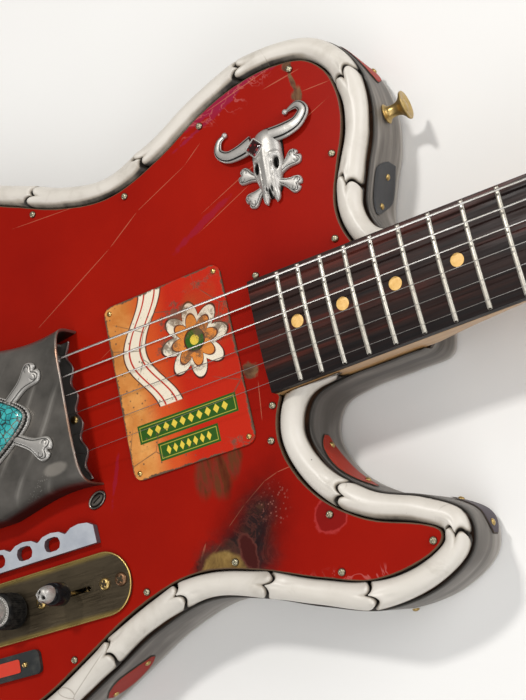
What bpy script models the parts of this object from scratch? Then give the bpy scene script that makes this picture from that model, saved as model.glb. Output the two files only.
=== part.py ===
"""Bolt-neck electric guitar with a carved bone edging, painted sheet top and folded bridge cover.

Frame: metres, +Z up, the guitar lies on its back. The origin is on the back face, under the
middle of the saddle line. +X runs along the strings towards the nut, +Y towards the thick strings.
"""
import math

import bmesh
import bpy
import numpy as np
from mathutils import Matrix, Vector

MM = 0.001

# Clearances
FIT = 0.30 * MM
EDGE_FIT = 1.0 * MM
JOINT_FIT = 1.10 * MM

# Scale and neck
SCALE = 647.7 * MM
FRETS = 21
NUT_WIDTH = 42.9 * MM
HEEL_WIDTH = 56.6 * MM
HEEL_END = 176.0 * MM
HEEL_THICK = 19.05 * MM
NECK_THICK_NUT = 14.6 * MM
NECK_THICK_BODY = 17.4 * MM
HEEL_BLOCK = 80.0 * MM
BOARD_THICK = 6.35 * MM
BOARD_RADIUS = 241.0 * MM
FRET_WIDTH = 2.1 * MM
FRET_HEIGHT = 1.0 * MM
FRET_END = 0.5 * MM
NUT_LENGTH = 3.3 * MM
NUT_SPREAD = 35.6 * MM

# Body
BODY_THICK = 44.5 * MM
PANEL_THICK = 1.6 * MM
BOARD_RISE = 9.9 * MM
BAND_THICK = 1.2 * MM
BAND_FOOT = 1.0 * MM

# Bone edging
BONE_RADIUS = 6.7 * MM
BONE_WAIST = 0.55 * MM
BONE_INSET = 7.0 * MM
BONE_DROP = 4.0 * MM
BONE_SIDES = 12
BONE_STEPS = 4
LOBE = 3.6 * MM
BONE_START = 24.0 * MM
BONE_STOP = 61.0 * MM
BONE_SHARES = [40.5, 54.5, 68, 70.5, 75, 88, 104, 118, 122, 110, 84.3, 49.5, 50, 53, 53, 60.5, 85.5]

# Strings
GAUGES = [1.17, 0.91, 0.66, 0.43, 0.33, 0.25]
BRIDGE_SPREAD = 54.0 * MM
STRING_RISE = 14.6 * MM
ANCHOR_BACK = 19.0 * MM
WIND_TURNS = 2.25
WIND_STEPS = 12
WIND_GAP = 0.45 * MM

# Bridge
PLATE_THICK = 1.5 * MM
PLATE_REAR = -32.0 * MM
PLATE_FRONT = 62.0 * MM
PLATE_HALF = 37.4 * MM
PLATE_LIP = 7.0 * MM
SCALLOP = 1.6 * MM
SCALLOPS = 5
SADDLE_RADIUS = 3.9 * MM
SADDLE_LENGTH = 17.0 * MM
SADDLE_SCREW_RADIUS = 1.3 * MM
HEIGHT_SCREW_RADIUS = 1.2 * MM
HEIGHT_SCREW_OFFSET = 6.3 * MM
COVER_HALF = 46.5 * MM
COVER_MOUTH_HALF = 42.0 * MM
COVER_PINCH = 3.0 * MM
COVER_FRONT = 67.0 * MM
COVER_REAR = -44.0 * MM
COVER_HEIGHT = 21.0 * MM
COVER_WALL = 1.2 * MM
COVER_ANGLES = (0, 10, 25, 45, 65, 80, 90, 100, 115, 135, 155, 170, 180)
PICKUP_X = 31.0 * MM
PICKUP_LENGTH = 61.0 * MM
PICKUP_WIDTH = 17.0 * MM
PICKUP_DEPTH = 12.0 * MM
PICKUP_SLANT = math.radians(-12.0)
POLE_RADIUS = 2.4 * MM

# Controls
CONTROL_LENGTH = 160.0 * MM
CONTROL_WIDTH = 32.0 * MM
CONTROL_X = -6.0 * MM
CONTROL_Y = -91.0 * MM
CONTROL_THICK = 1.4 * MM
CAVITY_DEPTH = 33.0 * MM
CAVITY_MARGIN = 8.0 * MM
SWITCH_X = CONTROL_X + 0.27125 * CONTROL_LENGTH
SLOT_LENGTH = 24.0 * MM
SLOT_WIDTH = 2.6 * MM
LEVER_THICK = 1.3 * MM
SWITCH_HALF = 6.5 * MM
VOLUME_X = CONTROL_X + 0.03125 * CONTROL_LENGTH
TONE_X = CONTROL_X - 0.225 * CONTROL_LENGTH
KNOB_RADIUS = 9.5 * MM
KNOB_HEIGHT = 13.0 * MM
POT_RADIUS = 12.0 * MM
POT_SHAFT = 3.0 * MM
POT_DEPTH = 9.0 * MM
POT_BUSHING = 4.7 * MM
POT_NUT = 1.0 * MM
PIN_RADIUS = 1.3 * MM
CONTROL_SCREW_RADIUS = 1.4 * MM

# Tuners
POST_FIRST = 36.0 * MM
POST_PITCH = 25.6 * MM
POST_RADIUS = 3.1 * MM
POST_RISE = 10.5 * MM
POST_OFFSET = 3.7 * MM
HEAD_THICK = 14.3 * MM
HEAD_DROP = 3.6 * MM
HOUSING_HEIGHT = 9.5 * MM
HOUSING_LENGTH = 19.0 * MM
HOUSING_WIDTH = 14.0 * MM
WORM_OFFSET = 5.2 * MM
# Button on its shaft, in millimetres: each ring is a reach from the worm, half a width and half a thickness
BUTTON_RINGS = [(-4.4, 1.9, 1.9), (17.8, 1.9, 1.9), (18.4, 4.4, 2.9), (22.0, 7.6, 3.4), (27.0, 8.2, 3.5),
                (30.6, 5.4, 2.6)]

# Levels, worked up from the back face
TOP = BODY_THICK
PANEL_UNDER = TOP - PANEL_THICK
WOOD_TOP = PANEL_UNDER - FIT
BONE_LEVEL = TOP - BONE_DROP
REBATE = BONE_LEVEL - BONE_RADIUS - FIT
BAND_TOP = BONE_LEVEL - 0.75 * BONE_RADIUS
BOARD_TOP = TOP + BOARD_RISE
GLUE = BOARD_TOP - BOARD_THICK
HEEL_FLOOR = GLUE - HEEL_THICK
HEAD_FACE = GLUE - HEAD_DROP
HEAD_BACK = HEAD_FACE - HEAD_THICK
SEAT = TOP + FIT
SWITCH_PIVOT = TOP - 11.0 * MM
CORE_INSET = BAND_THICK + FIT
WALL_INSET = BONE_INSET + BONE_RADIUS + EDGE_FIT
PANEL_INSET = BONE_INSET + math.sqrt(BONE_RADIUS ** 2 - (PANEL_UNDER - BONE_LEVEL) ** 2) + EDGE_FIT

# Outline of the body's side, in millimetres from the saddle line, from the neck round the tail
OUTLINE = [
    (255.2, 0), (254.8, 19), (250, 29), (243, 36), (240, 48), (245.5, 65), (252.5, 82),
    (255.6, 101), (251.5, 123), (237, 140), (213, 147), (187, 146), (160, 138.5), (133, 126.5),
    (103, 118.8), (74, 125), (45, 138), (13, 151.5), (-24, 160.8), (-62, 161), (-97, 150),
    (-124, 126), (-140, 88), (-145.5, 30), (-145.5, -30), (-140, -88), (-124, -126),
    (-97, -150), (-62, -161), (-24, -160.3), (13, -149.7), (45, -135), (76, -120.5),
    (110, -112.2), (140, -118), (170, -129), (200, -137.3), (230, -133.3), (248, -121),
    (249.5, -105), (233, -93), (209, -83.5), (191, -68), (183.5, -48), (190, -34),
    (207, -29.5), (235, -28.5), (250.5, -27), (254.8, -18),
]

# Sheet top fittings
NAIL_RADIUS = 2.4 * MM
NAILS = [
    (231.5, 76.2), (222.8, 34.9), (177.6, 32.6), (220.7, 127.4), (165.1, 120.2), (113, 102.1),
    (53, 115.1), (2, 137), (-50, 143), (-92, 131), (-117, 98), (-126, 50), (-127.5, 0), (-126, -50),
    (-117, -98), (-92, -131), (-50, -143), (-12.3, -140), (29.9, -123.1), (80.2, -100.8),
    (134.9, -98.7), (187.4, -116.8), (231.5, -113.4), (188, -89.7), (166.3, -47.4), (170.9, -30.7),
]
TIN_BOX = (86.9 * MM, 159.1 * MM, -46.6 * MM, 46.6 * MM)
TIN_CORNER = 5.0 * MM
TIN_THICK = 0.8 * MM
PLAQUE_BOX = (-72.0 * MM, 10.0 * MM, -125.2 * MM, -112.8 * MM)
PLAQUE_THICK = 2.0 * MM
INLAY_BOX = (-62.0 * MM, -3.0 * MM, -122.4 * MM, -115.6 * MM)
INLAY_RISE = 0.3 * MM
TRIM_BOX = (-52.0 * MM, 59.0 * MM, -70.0 * MM, -58.0 * MM)
TRIM_THICK = 3.6 * MM
TRIM_ARCHES = 6

# Steer skull, in millimetres: each ring is a place along the skull, half a width and a height
SKULL_RINGS = [(101.8, 2.4, 2.2), (99.0, 6.6, 4.4), (95.0, 7.8, 5.6), (90.0, 6.9, 5.4), (84.0, 5.2, 5.0),
               (77.0, 4.4, 4.2), (70.0, 4.6, 3.4), (65.0, 2.6, 1.8)]
SKULL_X = 198.5
SKULL_LEAN = 0.11
HORNS = [
    [(192.5, 97.0, 3.6), (184.5, 95.8, 2.9), (177.5, 96.6, 2.5), (173.4, 101.0, 2.1), (174.6, 106.0, 1.6),
     (178.8, 108.8, 0.7)],
    [(204.5, 97.5, 3.6), (212.0, 96.6, 2.9), (219.5, 98.2, 2.5), (223.4, 102.4, 2.1), (221.0, 106.4, 1.6),
     (213.4, 106.4, 0.7)],
]
CROSS_BONES = [((183.8, 83.6), (210.6, 68.6)), ((185.2, 69.4), (213.0, 82.6))]
CROSS_THICK = 2.4 * MM
STONE_SIDE = 6.6 * MM
STONE_GIRDLE = 3.4 * MM
STONE_PLACE = (194.9, 94.3)

# Stone and crossed bones on the bridge cover
STONE_REACH = 20.6 * MM
STONE_WAVE = 0.23
STONE_TIP = 42.7 * MM
BEZEL_WALL = 2.0 * MM
BEZEL_HEIGHT = 2.6 * MM
COVER_BONE_START = (17.9, 0)
COVER_BONES = [(50.6, 21.0), (50.8, -19.8), (-15.0, 20.4), (-15.0, -20.4)]
COVER_BONE_THICK = 1.8 * MM

# Fastenings, jack and strap buttons
NECK_SCREW_NEAR = 13.0 * MM
NECK_SCREW_PITCH = 51.0 * MM
NECK_SCREW_HALF = 18.0 * MM
NECK_SCREWS = [(HEEL_END + NECK_SCREW_NEAR + row * NECK_SCREW_PITCH, side * NECK_SCREW_HALF)
               for row in (0, 1) for side in (-1, 1)]
POCKET_REACH = 330.0 * MM
STRAP_PLACES = [(255.5 * MM, 94.5 * MM, (1, 0.03, 0)), (-145.7 * MM, 0.0, (-1, 0, 0))]
STRAP_LEVEL = 22.0 * MM
JACK_PLACE = (-46.0 * MM, -161.3 * MM)
JACK_LEVEL = 20.0 * MM
FERRULE_RADIUS = 4.0 * MM
FERRULE_DEPTH = 9.0 * MM
STRING_BORE = 1.8 * MM
CUP_RADIUS = 6.5 * MM
CUP_DEPTH = 4.0 * MM
NECK_SCREW_RADIUS = 2.2 * MM
STRAP_SCREW_RADIUS = 1.7 * MM
BRIDGE_SCREW_RADIUS = 1.6 * MM
BRIDGE_SCREWS = [(PLATE_REAR + 6 * MM, -30 * MM), (PLATE_REAR + 6 * MM, 30 * MM),
                 (PLATE_FRONT - 9 * MM, -30 * MM), (PLATE_FRONT - 9 * MM, 30 * MM)]
JACK_CUP_RADIUS = 10.5 * MM
JACK_BORE = 3.25 * MM
JACK_DEPTH = 34.0 * MM
JACK_SIDES = 12
STRAP_BUTTON_RADIUS = 7.4 * MM

# More of the bridge, controls, tuners and strings
SCREW_LEVEL = TOP + 7.0 * MM
PICKUP_RISE = 4.6 * MM
SKULL_CAP = 7.6 * MM
TIP_LOW = 6.0 * MM
TIP_RADIUS = 5.8 * MM
TIP_HEIGHT = 10.0 * MM
TIP_CAP = 6.0 * MM
SWITCH_SCREW_GAP = 41.3 * MM
PLATE_SCREW_INSET = 5.8 * MM
HEAD_MARGIN = 11.5 * MM
TREE_X = SCALE + 54.0 * MM
TREE_HALF = 5.6 * MM
BUSHING_RADIUS = 4.3 * MM
WORM_RADIUS = 1.9 * MM
POST_FOOT = 2.4 * MM
NUT_RISE = 12.3 * MM
NUT_LIP = 0.4 * MM
TREE_RISE = 6.6 * MM
WIND_TOP = 7.2 * MM

PAINT_RED = ((0.36, 0.012, 0.008), 0.35, 0.0)
WOOD_CORE = ((0.22, 0.12, 0.06), 0.6, 0.0)
BONE = ((0.80, 0.76, 0.68), 0.35, 0.0)
GREY_TIN = ((0.16, 0.15, 0.14), 0.38, 0.9)
STEEL = ((0.55, 0.55, 0.54), 0.3, 1.0)
SILVER = ((0.62, 0.61, 0.58), 0.32, 1.0)
BRASS = ((0.50, 0.38, 0.16), 0.35, 1.0)
CHROME = ((0.75, 0.76, 0.78), 0.12, 1.0)
BLACK = ((0.015, 0.015, 0.016), 0.35, 0.0)
ROSEWOOD = ((0.045, 0.020, 0.014), 0.5, 0.0)
MAPLE = ((0.45, 0.27, 0.12), 0.45, 0.0)
TURQUOISE = ((0.03, 0.36, 0.36), 0.3, 0.0)
TIN_PAINT = ((0.50, 0.10, 0.02), 0.4, 0.0)

def clear_scene():
    for item in list(bpy.data.objects):
        bpy.data.objects.remove(item, do_unlink=True)


def finish(name, colour):
    """One Principled material from a colour, a roughness and a metallic value."""
    (red, green, blue), rough, metal = colour
    material = bpy.data.materials.new(name + "_finish")
    material.use_nodes = True
    shader = material.node_tree.nodes["Principled BSDF"]
    shader.inputs["Base Color"].default_value = (red, green, blue, 1.0)
    shader.inputs["Roughness"].default_value = rough
    shader.inputs["Metallic"].default_value = metal
    material.diffuse_color = (red, green, blue, 1.0)
    return material


def make(name, bm, colour=None, smooth=True):
    """Puts a bmesh into the scene as one object, faces outwards, round faces smooth."""
    bmesh.ops.recalc_face_normals(bm, faces=bm.faces)
    mesh = bpy.data.meshes.new(name)
    bm.to_mesh(mesh)
    bm.free()
    if smooth:
        mesh.shade_smooth()
        mesh.set_sharp_from_angle(angle=math.radians(34))
    item = bpy.data.objects.new(name, mesh)
    bpy.context.scene.collection.objects.link(item)
    if colour is not None:
        mesh.materials.append(finish(name, colour))
    return item


def tool(item):
    """Marks an object as a cutter or a helper."""
    item.hide_render = True
    item.display_type = "WIRE"
    return item


def boolean(target, other, how="DIFFERENCE"):
    step = target.modifiers.new(other.name, "BOOLEAN")
    step.operation = how
    step.object = tool(other)


def add_prism(bm, points, low, high):
    """Extrudes a closed outline, a list of x, y, from one level up to another."""
    base = [bm.verts.new((x, y, low)) for x, y in points]
    face = bm.faces.new(base)
    moved = bmesh.ops.extrude_face_region(bm, geom=[face])["geom"]
    top = [v for v in moved if isinstance(v, bmesh.types.BMVert)]
    bmesh.ops.translate(bm, verts=top, vec=(0, 0, high - low))
    return base + top


def add_box(bm, low, high):
    corners = [(low[0], low[1]), (high[0], low[1]), (high[0], high[1]), (low[0], high[1])]
    return add_prism(bm, corners, low[2], high[2])


def add_loft(bm, rings):
    """Skins closed rings of equal count, in order, with a flat cap at both ends."""
    rows = [[bm.verts.new(point) for point in ring] for ring in rings]
    count = len(rows[0])
    for near, far in zip(rows, rows[1:]):
        for k in range(count):
            j = (k + 1) % count
            bm.faces.new((near[k], near[j], far[j], far[k]))
    bm.faces.new(list(reversed(rows[0])))
    bm.faces.new(rows[-1])
    return [v for row in rows for v in row]


def add_turned(bm, profile, sides, place=None):
    """Turns a list of radius, height pairs round +Z; a radius of nought closes the shape."""
    rows = []
    for radius, height in profile:
        if radius < 1e-7:
            rows.append([bm.verts.new((0, 0, height))])
        else:
            angles = [2 * math.pi * k / sides for k in range(sides)]
            rows.append([bm.verts.new((radius * math.cos(a), radius * math.sin(a), height))
                         for a in angles])
    for near, far in zip(rows, rows[1:]):
        for k in range(sides):
            j = (k + 1) % sides
            if len(near) == 1:
                bm.faces.new((near[0], far[j], far[k]))
            elif len(far) == 1:
                bm.faces.new((near[k], near[j], far[0]))
            else:
                bm.faces.new((near[k], near[j], far[j], far[k]))
    if len(rows[0]) > 1:
        bm.faces.new(list(reversed(rows[0])))
    if len(rows[-1]) > 1:
        bm.faces.new(rows[-1])
    verts = [v for row in rows for v in row]
    if place is not None:
        bmesh.ops.transform(bm, matrix=place, verts=verts)
    return verts


def close_rows(bm, rows):
    """Joins rows of vertices, last to first too, into a ring-shaped skin."""
    count = len(rows[0])
    for near, far in zip(rows, rows[1:] + rows[:1]):
        for k in range(count):
            j = (k + 1) % count
            bm.faces.new((near[k], near[j], far[j], far[k]))


def add_closed_turned(bm, loop, sides, place):
    """Turns a closed loop of radius, height pairs round +Z: a ring, cup or sleeve."""
    rows = []
    for radius, height in loop:
        angles = [2 * math.pi * k / sides for k in range(sides)]
        rows.append([bm.verts.new((radius * math.cos(a), radius * math.sin(a), height))
                     for a in angles])
    close_rows(bm, rows)
    bmesh.ops.transform(bm, matrix=place, verts=[v for row in rows for v in row])


def shift(x, y, z):
    return Matrix.Translation((x, y, z))


def aimed(x, y, z, direction):
    """Places a shape drawn along +Z so that it points along a direction."""
    turn = Vector((0, 0, 1)).rotation_difference(Vector(direction)).to_matrix().to_4x4()
    return shift(x, y, z) @ turn


def slot_outline(cx, cy, length, width, steps=6):
    """A stadium along X: two straight sides and two half circles."""
    points = []
    reach = (length - width) / 2
    for side in (1, -1):
        for k in range(steps + 1):
            angle = math.pi * (k / steps - 0.5) + (0 if side > 0 else math.pi)
            points.append((cx + side * reach + width / 2 * math.cos(angle),
                           cy + width / 2 * math.sin(angle)))
    return points


def round_box(x0, x1, y0, y1, radius, steps=3):
    """A rectangle with round corners."""
    points = []
    corners = ((x1 - radius, y0 + radius, -90), (x1 - radius, y1 - radius, 0),
               (x0 + radius, y1 - radius, 90), (x0 + radius, y0 + radius, 180))
    for cx, cy, start in corners:
        for k in range(steps + 1):
            angle = math.radians(start + 90 * k / steps)
            points.append((cx + radius * math.cos(angle), cy + radius * math.sin(angle)))
    return points


def spline(points, steps):
    """Closed centripetal curve through the points, with the same number of steps on each stretch."""
    points = np.array(points, float)
    count = len(points)
    out = []
    for i in range(count):
        p = points[[(i + j) % count for j in (-1, 0, 1, 2)]]
        knots = np.concatenate([[0], np.cumsum(np.sqrt(np.linalg.norm(np.diff(p, axis=0), axis=1)))])
        for t in np.linspace(knots[1], knots[2], steps, endpoint=False):
            a = [((knots[k + 1] - t) * p[k] + (t - knots[k]) * p[k + 1]) / (knots[k + 1] - knots[k])
                 for k in range(3)]
            b = [((knots[k + 2] - t) * a[k] + (t - knots[k]) * a[k + 1]) / (knots[k + 2] - knots[k])
                 for k in range(2)]
            out.append(((knots[2] - t) * b[0] + (t - knots[1]) * b[1]) / (knots[2] - knots[1]))
    return np.array(out)


def outward(curve):
    """Unit normals of a closed counter-clockwise curve, pointing out."""
    along = np.roll(curve, -1, 0) - np.roll(curve, 1, 0)
    along /= np.linalg.norm(along, axis=1)[:, None]
    return np.stack([along[:, 1], -along[:, 0]], 1)


BODY_FINE = spline(np.array(OUTLINE) * MM, 14)
BODY_COARSE = spline(np.array(OUTLINE) * MM, 2)


def inset(curve, depth):
    return curve - outward(curve) * depth


def neck_half(x):
    """Half width of the neck at a distance from the saddle line."""
    share = (x - HEEL_END) / (SCALE - HEEL_END)
    return (HEEL_WIDTH + (NUT_WIDTH - HEEL_WIDTH) * share) / 2


def fret_x(number):
    return SCALE * 2 ** (-number / 12)


def crown(y):
    """Drop of the board's round top at a distance from the middle."""
    return y * y / (2 * BOARD_RADIUS)


def neck_cutter(name, floor, fit):
    """The room that the neck takes up in the body, with a named clearance."""
    near = neck_half(HEEL_END) + fit
    far = neck_half(POCKET_REACH) + fit
    outline = [(HEEL_END - fit, -near), (POCKET_REACH, -far), (POCKET_REACH, far), (HEEL_END - fit, near)]
    bm = bmesh.new()
    add_prism(bm, outline, floor - fit, BOARD_TOP + 30 * MM)
    return make(name, bm)


def panel_outline(depth):
    """Edge of the sheet top: the body's side set in by a depth, and closed across the neck."""
    curve = inset(BODY_COARSE, depth)
    count = len(curve)
    bass = [i for i in range(count // 2) if curve[i][1] > neck_half(HEEL_END) and i >= 6]
    treble = [i for i in range(count // 2, count - 8) if curve[i][1] < -neck_half(HEEL_END)]
    kept = [tuple(curve[i]) for i in bass + treble]
    seat = neck_half(HEEL_END) * 0.8
    return [(kept[0][0], seat)] + kept + [(kept[-1][0], -seat)]


def cavity_outline(margin):
    return slot_outline(CONTROL_X, CONTROL_Y, CONTROL_LENGTH - 2 * margin,
                        CONTROL_WIDTH - 0.5 * margin, 5)


def string_y(index, spread):
    return spread * (0.5 - index / 5)


def string_z(y, rise):
    return TOP + rise - crown(y)


def post_place(index):
    """Middle of a tuner's post on the head; the row lies so that every string runs straight."""
    x = SCALE + POST_FIRST + POST_PITCH * index
    start = string_y(index, BRIDGE_SPREAD)
    end = string_y(index, NUT_SPREAD)
    slope = (end - start) / SCALE
    return x, end + slope * (x - SCALE) + POST_OFFSET


def head_slant():
    """Direction across the head, square to the row of posts, in which the buttons reach."""
    x0, y0 = post_place(0)
    x5, y5 = post_place(5)
    along = Vector((x5 - x0, y5 - y0, 0)).normalized()
    return Vector((-along.y, along.x, 0)), along


def side_point(x, y):
    """Nearest point of the side to a place."""
    gap = np.linalg.norm(BODY_FINE - np.array((x, y)), axis=1)
    return BODY_FINE[int(np.argmin(gap))]


def strap_place(x, y, aim):
    spot = side_point(x, y)
    return aimed(spot[0], spot[1], STRAP_LEVEL, aim)


def jack_place():
    spot = side_point(*JACK_PLACE)
    return aimed(spot[0], spot[1], JACK_LEVEL, (0, -1, 0))


def move_origin(item, point):
    """Puts an object's origin on its axis, with the mesh left where it is."""
    item.data.transform(shift(-point[0], -point[1], -point[2]))
    item.location = point


def build_body():
    """Wood core with its rebate for the bones, neck pocket, cavities and holes."""
    bm = bmesh.new()
    add_prism(bm, inset(BODY_COARSE, CORE_INSET), 0, REBATE)
    core = make("body_core", bm, WOOD_CORE, smooth=False)
    bm = bmesh.new()
    add_prism(bm, panel_outline(WALL_INSET), REBATE - 5 * MM, WOOD_TOP)
    boolean(core, make("core_upper", bm), "UNION")
    boolean(core, neck_cutter("core_pocket", HEEL_FLOOR, FIT))
    bm = bmesh.new()
    add_prism(bm, cavity_outline(CAVITY_MARGIN), TOP - CAVITY_DEPTH, TOP + 5 * MM)
    boolean(core, make("core_cavity", bm))
    bm = bmesh.new()
    half = PICKUP_LENGTH / 2 + 7 * MM
    wide = PICKUP_WIDTH / 2 + 9 * MM
    add_box(bm, (PICKUP_X - wide, -half, TOP - PICKUP_DEPTH - 4 * MM),
            (PICKUP_X + wide, half, TOP + 5 * MM))
    boolean(core, make("core_pickup", bm))
    bm = bmesh.new()
    for i in range(6):
        y = string_y(i, BRIDGE_SPREAD)
        add_turned(bm, [(FERRULE_RADIUS, -MM), (FERRULE_RADIUS, FERRULE_DEPTH),
                        (STRING_BORE, FERRULE_DEPTH), (STRING_BORE, TOP)], 8,
                   shift(-ANCHOR_BACK, y, 0))
    for x, y in NECK_SCREWS:
        add_turned(bm, [(CUP_RADIUS, -MM), (CUP_RADIUS, CUP_DEPTH + FIT),
                        (NECK_SCREW_RADIUS + FIT, CUP_DEPTH + FIT),
                        (NECK_SCREW_RADIUS + FIT, TOP)], 8, shift(x, y, 0))
    for x, y, aim in STRAP_PLACES:
        add_turned(bm, [(STRAP_SCREW_RADIUS + FIT, -28 * MM), (STRAP_SCREW_RADIUS + FIT, 5 * MM)],
                   8, strap_place(x, y, aim))
    for x, y in BRIDGE_SCREWS:
        add_turned(bm, [(BRIDGE_SCREW_RADIUS + FIT, TOP - 16 * MM),
                        (BRIDGE_SCREW_RADIUS + FIT, TOP + MM)], 8, shift(x, y, 0))
    for x in control_screw_places()[0]:
        add_turned(bm, [(CONTROL_SCREW_RADIUS + FIT, TOP - 6 * MM),
                        (CONTROL_SCREW_RADIUS + FIT, TOP + MM)], 8, shift(x, CONTROL_Y, 0))
    boolean(core, make("core_holes", bm))
    bm = bmesh.new()
    add_turned(bm, [(JACK_CUP_RADIUS + FIT, -60 * MM), (JACK_CUP_RADIUS + FIT, 5 * MM)], JACK_SIDES,
               jack_place())
    boolean(core, make("core_jack", bm))


def build_shell():
    """Sheet top with its nails, and the side band."""
    bm = bmesh.new()
    add_prism(bm, panel_outline(PANEL_INSET), PANEL_UNDER, TOP)
    panel = make("top_panel", bm, PAINT_RED, smooth=False)
    boolean(panel, neck_cutter("panel_pocket", HEEL_FLOOR, FIT))
    bm = bmesh.new()
    add_prism(bm, cavity_outline(CAVITY_MARGIN), PANEL_UNDER - 3 * MM, TOP + 5 * MM)
    half = PICKUP_LENGTH / 2 + 6 * MM
    wide = PICKUP_WIDTH / 2 + 8 * MM
    add_box(bm, (PICKUP_X - wide, -half, PANEL_UNDER - 3 * MM), (PICKUP_X + wide, half, TOP + 5 * MM))
    for i in range(6):
        y = string_y(i, BRIDGE_SPREAD)
        add_turned(bm, [(STRING_BORE, PANEL_UNDER - MM), (STRING_BORE, TOP + MM)], 8,
                   shift(-ANCHOR_BACK, y, 0))
    for x, y in BRIDGE_SCREWS:
        add_turned(bm, [(BRIDGE_SCREW_RADIUS + FIT, PANEL_UNDER - MM),
                        (BRIDGE_SCREW_RADIUS + FIT, TOP + MM)], 8, shift(x, y, 0))
    for x in control_screw_places()[0]:
        add_turned(bm, [(CONTROL_SCREW_RADIUS + FIT, PANEL_UNDER - MM),
                        (CONTROL_SCREW_RADIUS + FIT, TOP + MM)], 8, shift(x, CONTROL_Y, 0))
    boolean(panel, make("panel_holes", bm))
    bm = bmesh.new()
    for x, y in NAILS:
        add_turned(bm, [(NAIL_RADIUS, -0.5 * PANEL_THICK), (NAIL_RADIUS, 0.12 * NAIL_RADIUS),
                        (0.66 * NAIL_RADIUS, 0.58 * NAIL_RADIUS), (0, 0.76 * NAIL_RADIUS)], 6,
                   shift(x * MM, y * MM, TOP))
    boolean(panel, make("panel_nails", bm), "UNION")

    inner = inset(BODY_COARSE, BAND_THICK)
    bm = bmesh.new()
    rows = []
    for curve, level in ((BODY_COARSE, BAND_FOOT), (BODY_COARSE, BAND_TOP), (inner, BAND_TOP),
                         (inner, BAND_FOOT)):
        rows.append([bm.verts.new((x, y, level)) for x, y in curve])
    close_rows(bm, rows)
    band = make("side_band", bm, GREY_TIN)
    boolean(band, neck_cutter("band_pocket", HEEL_FLOOR, FIT))
    bm = bmesh.new()
    for x, y, aim in STRAP_PLACES:
        add_turned(bm, [(STRAP_SCREW_RADIUS + FIT, -6 * MM), (STRAP_SCREW_RADIUS + FIT, 6 * MM)],
                   8, strap_place(x, y, aim))
    add_turned(bm, [(JACK_CUP_RADIUS + FIT, -6 * MM), (JACK_CUP_RADIUS + FIT, 6 * MM)], JACK_SIDES,
               jack_place())
    boolean(band, make("band_holes", bm))


def joint_line(across, lean):
    """Wavy line of a knuckle joint: how far it runs ahead at a share of the width across.

    Two lobes stand on one bone, one of them larger, and the next bone is hollowed to match.
    """
    side = across * lean
    wave = 0.55 * side - math.cos(2 * math.pi * side) * (0.5 + 0.25 * side)
    return LOBE * wave


def build_bones():
    """Bones laid end to end along the rebate, each with a waist and a lobed knuckle at both ends."""
    line = inset(BODY_FINE, BONE_INSET)
    normals = outward(BODY_FINE)
    steps = np.linalg.norm(np.roll(line, -1, 0) - line, axis=1)
    length = np.concatenate([[0], np.cumsum(steps)])
    line = np.vstack([line, line[:1]])
    normals = np.vstack([normals, normals[:1]])

    def at(distance):
        x, y = (np.interp(distance, length, line[:, k]) for k in (0, 1))
        nx, ny = (np.interp(distance, length, normals[:, k]) for k in (0, 1))
        size = math.hypot(nx, ny)
        return x, y, nx / size, ny / size

    shares = np.array(BONE_SHARES, float)
    reach = length[-1] - BONE_START - BONE_STOP
    marks = BONE_START + np.concatenate([[0], np.cumsum(shares)]) / shares.sum() * reach
    last = len(shares) - 1
    for i in range(last + 1):
        bm = bmesh.new()
        rows = []
        for k in range(BONE_STEPS + 1):
            t = k / BONE_STEPS
            radius = BONE_RADIUS - BONE_WAIST * math.sin(math.pi * t)
            ring = []
            for j in range(BONE_SIDES):
                angle = 2 * math.pi * j / BONE_SIDES
                across = math.cos(angle)
                near = marks[i] + joint_line(across, -1 if i % 2 else 1) + JOINT_FIT / 2
                far = marks[i + 1] + joint_line(across, 1 if i % 2 else -1) - JOINT_FIT / 2
                x, y, nx, ny = at(near + t * (far - near))
                ring.append(bm.verts.new((x + nx * radius * across, y + ny * radius * across,
                                          BONE_LEVEL + radius * math.sin(angle))))
            rows.append(ring)
        for near, far in zip(rows, rows[1:]):
            for j in range(BONE_SIDES):
                n = (j + 1) % BONE_SIDES
                bm.faces.new((near[j], near[n], far[n], far[j]))
        for ring in (rows[0], rows[-1]):
            for j in range(BONE_SIDES // 2):
                upper = [ring[j], ring[j + 1]]
                lower = [ring[BONE_SIDES - j - 1], ring[(BONE_SIDES - j) % BONE_SIDES]]
                corners = upper + [vert for vert in lower if vert not in upper]
                bm.faces.new(corners)
        bone = make("edge_bone_%02d" % (i + 1), bm, BONE)
        if i in (0, last):
            boolean(bone, neck_cutter("bone_trim_%02d" % (i + 1), HEEL_FLOOR, FIT))


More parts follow.
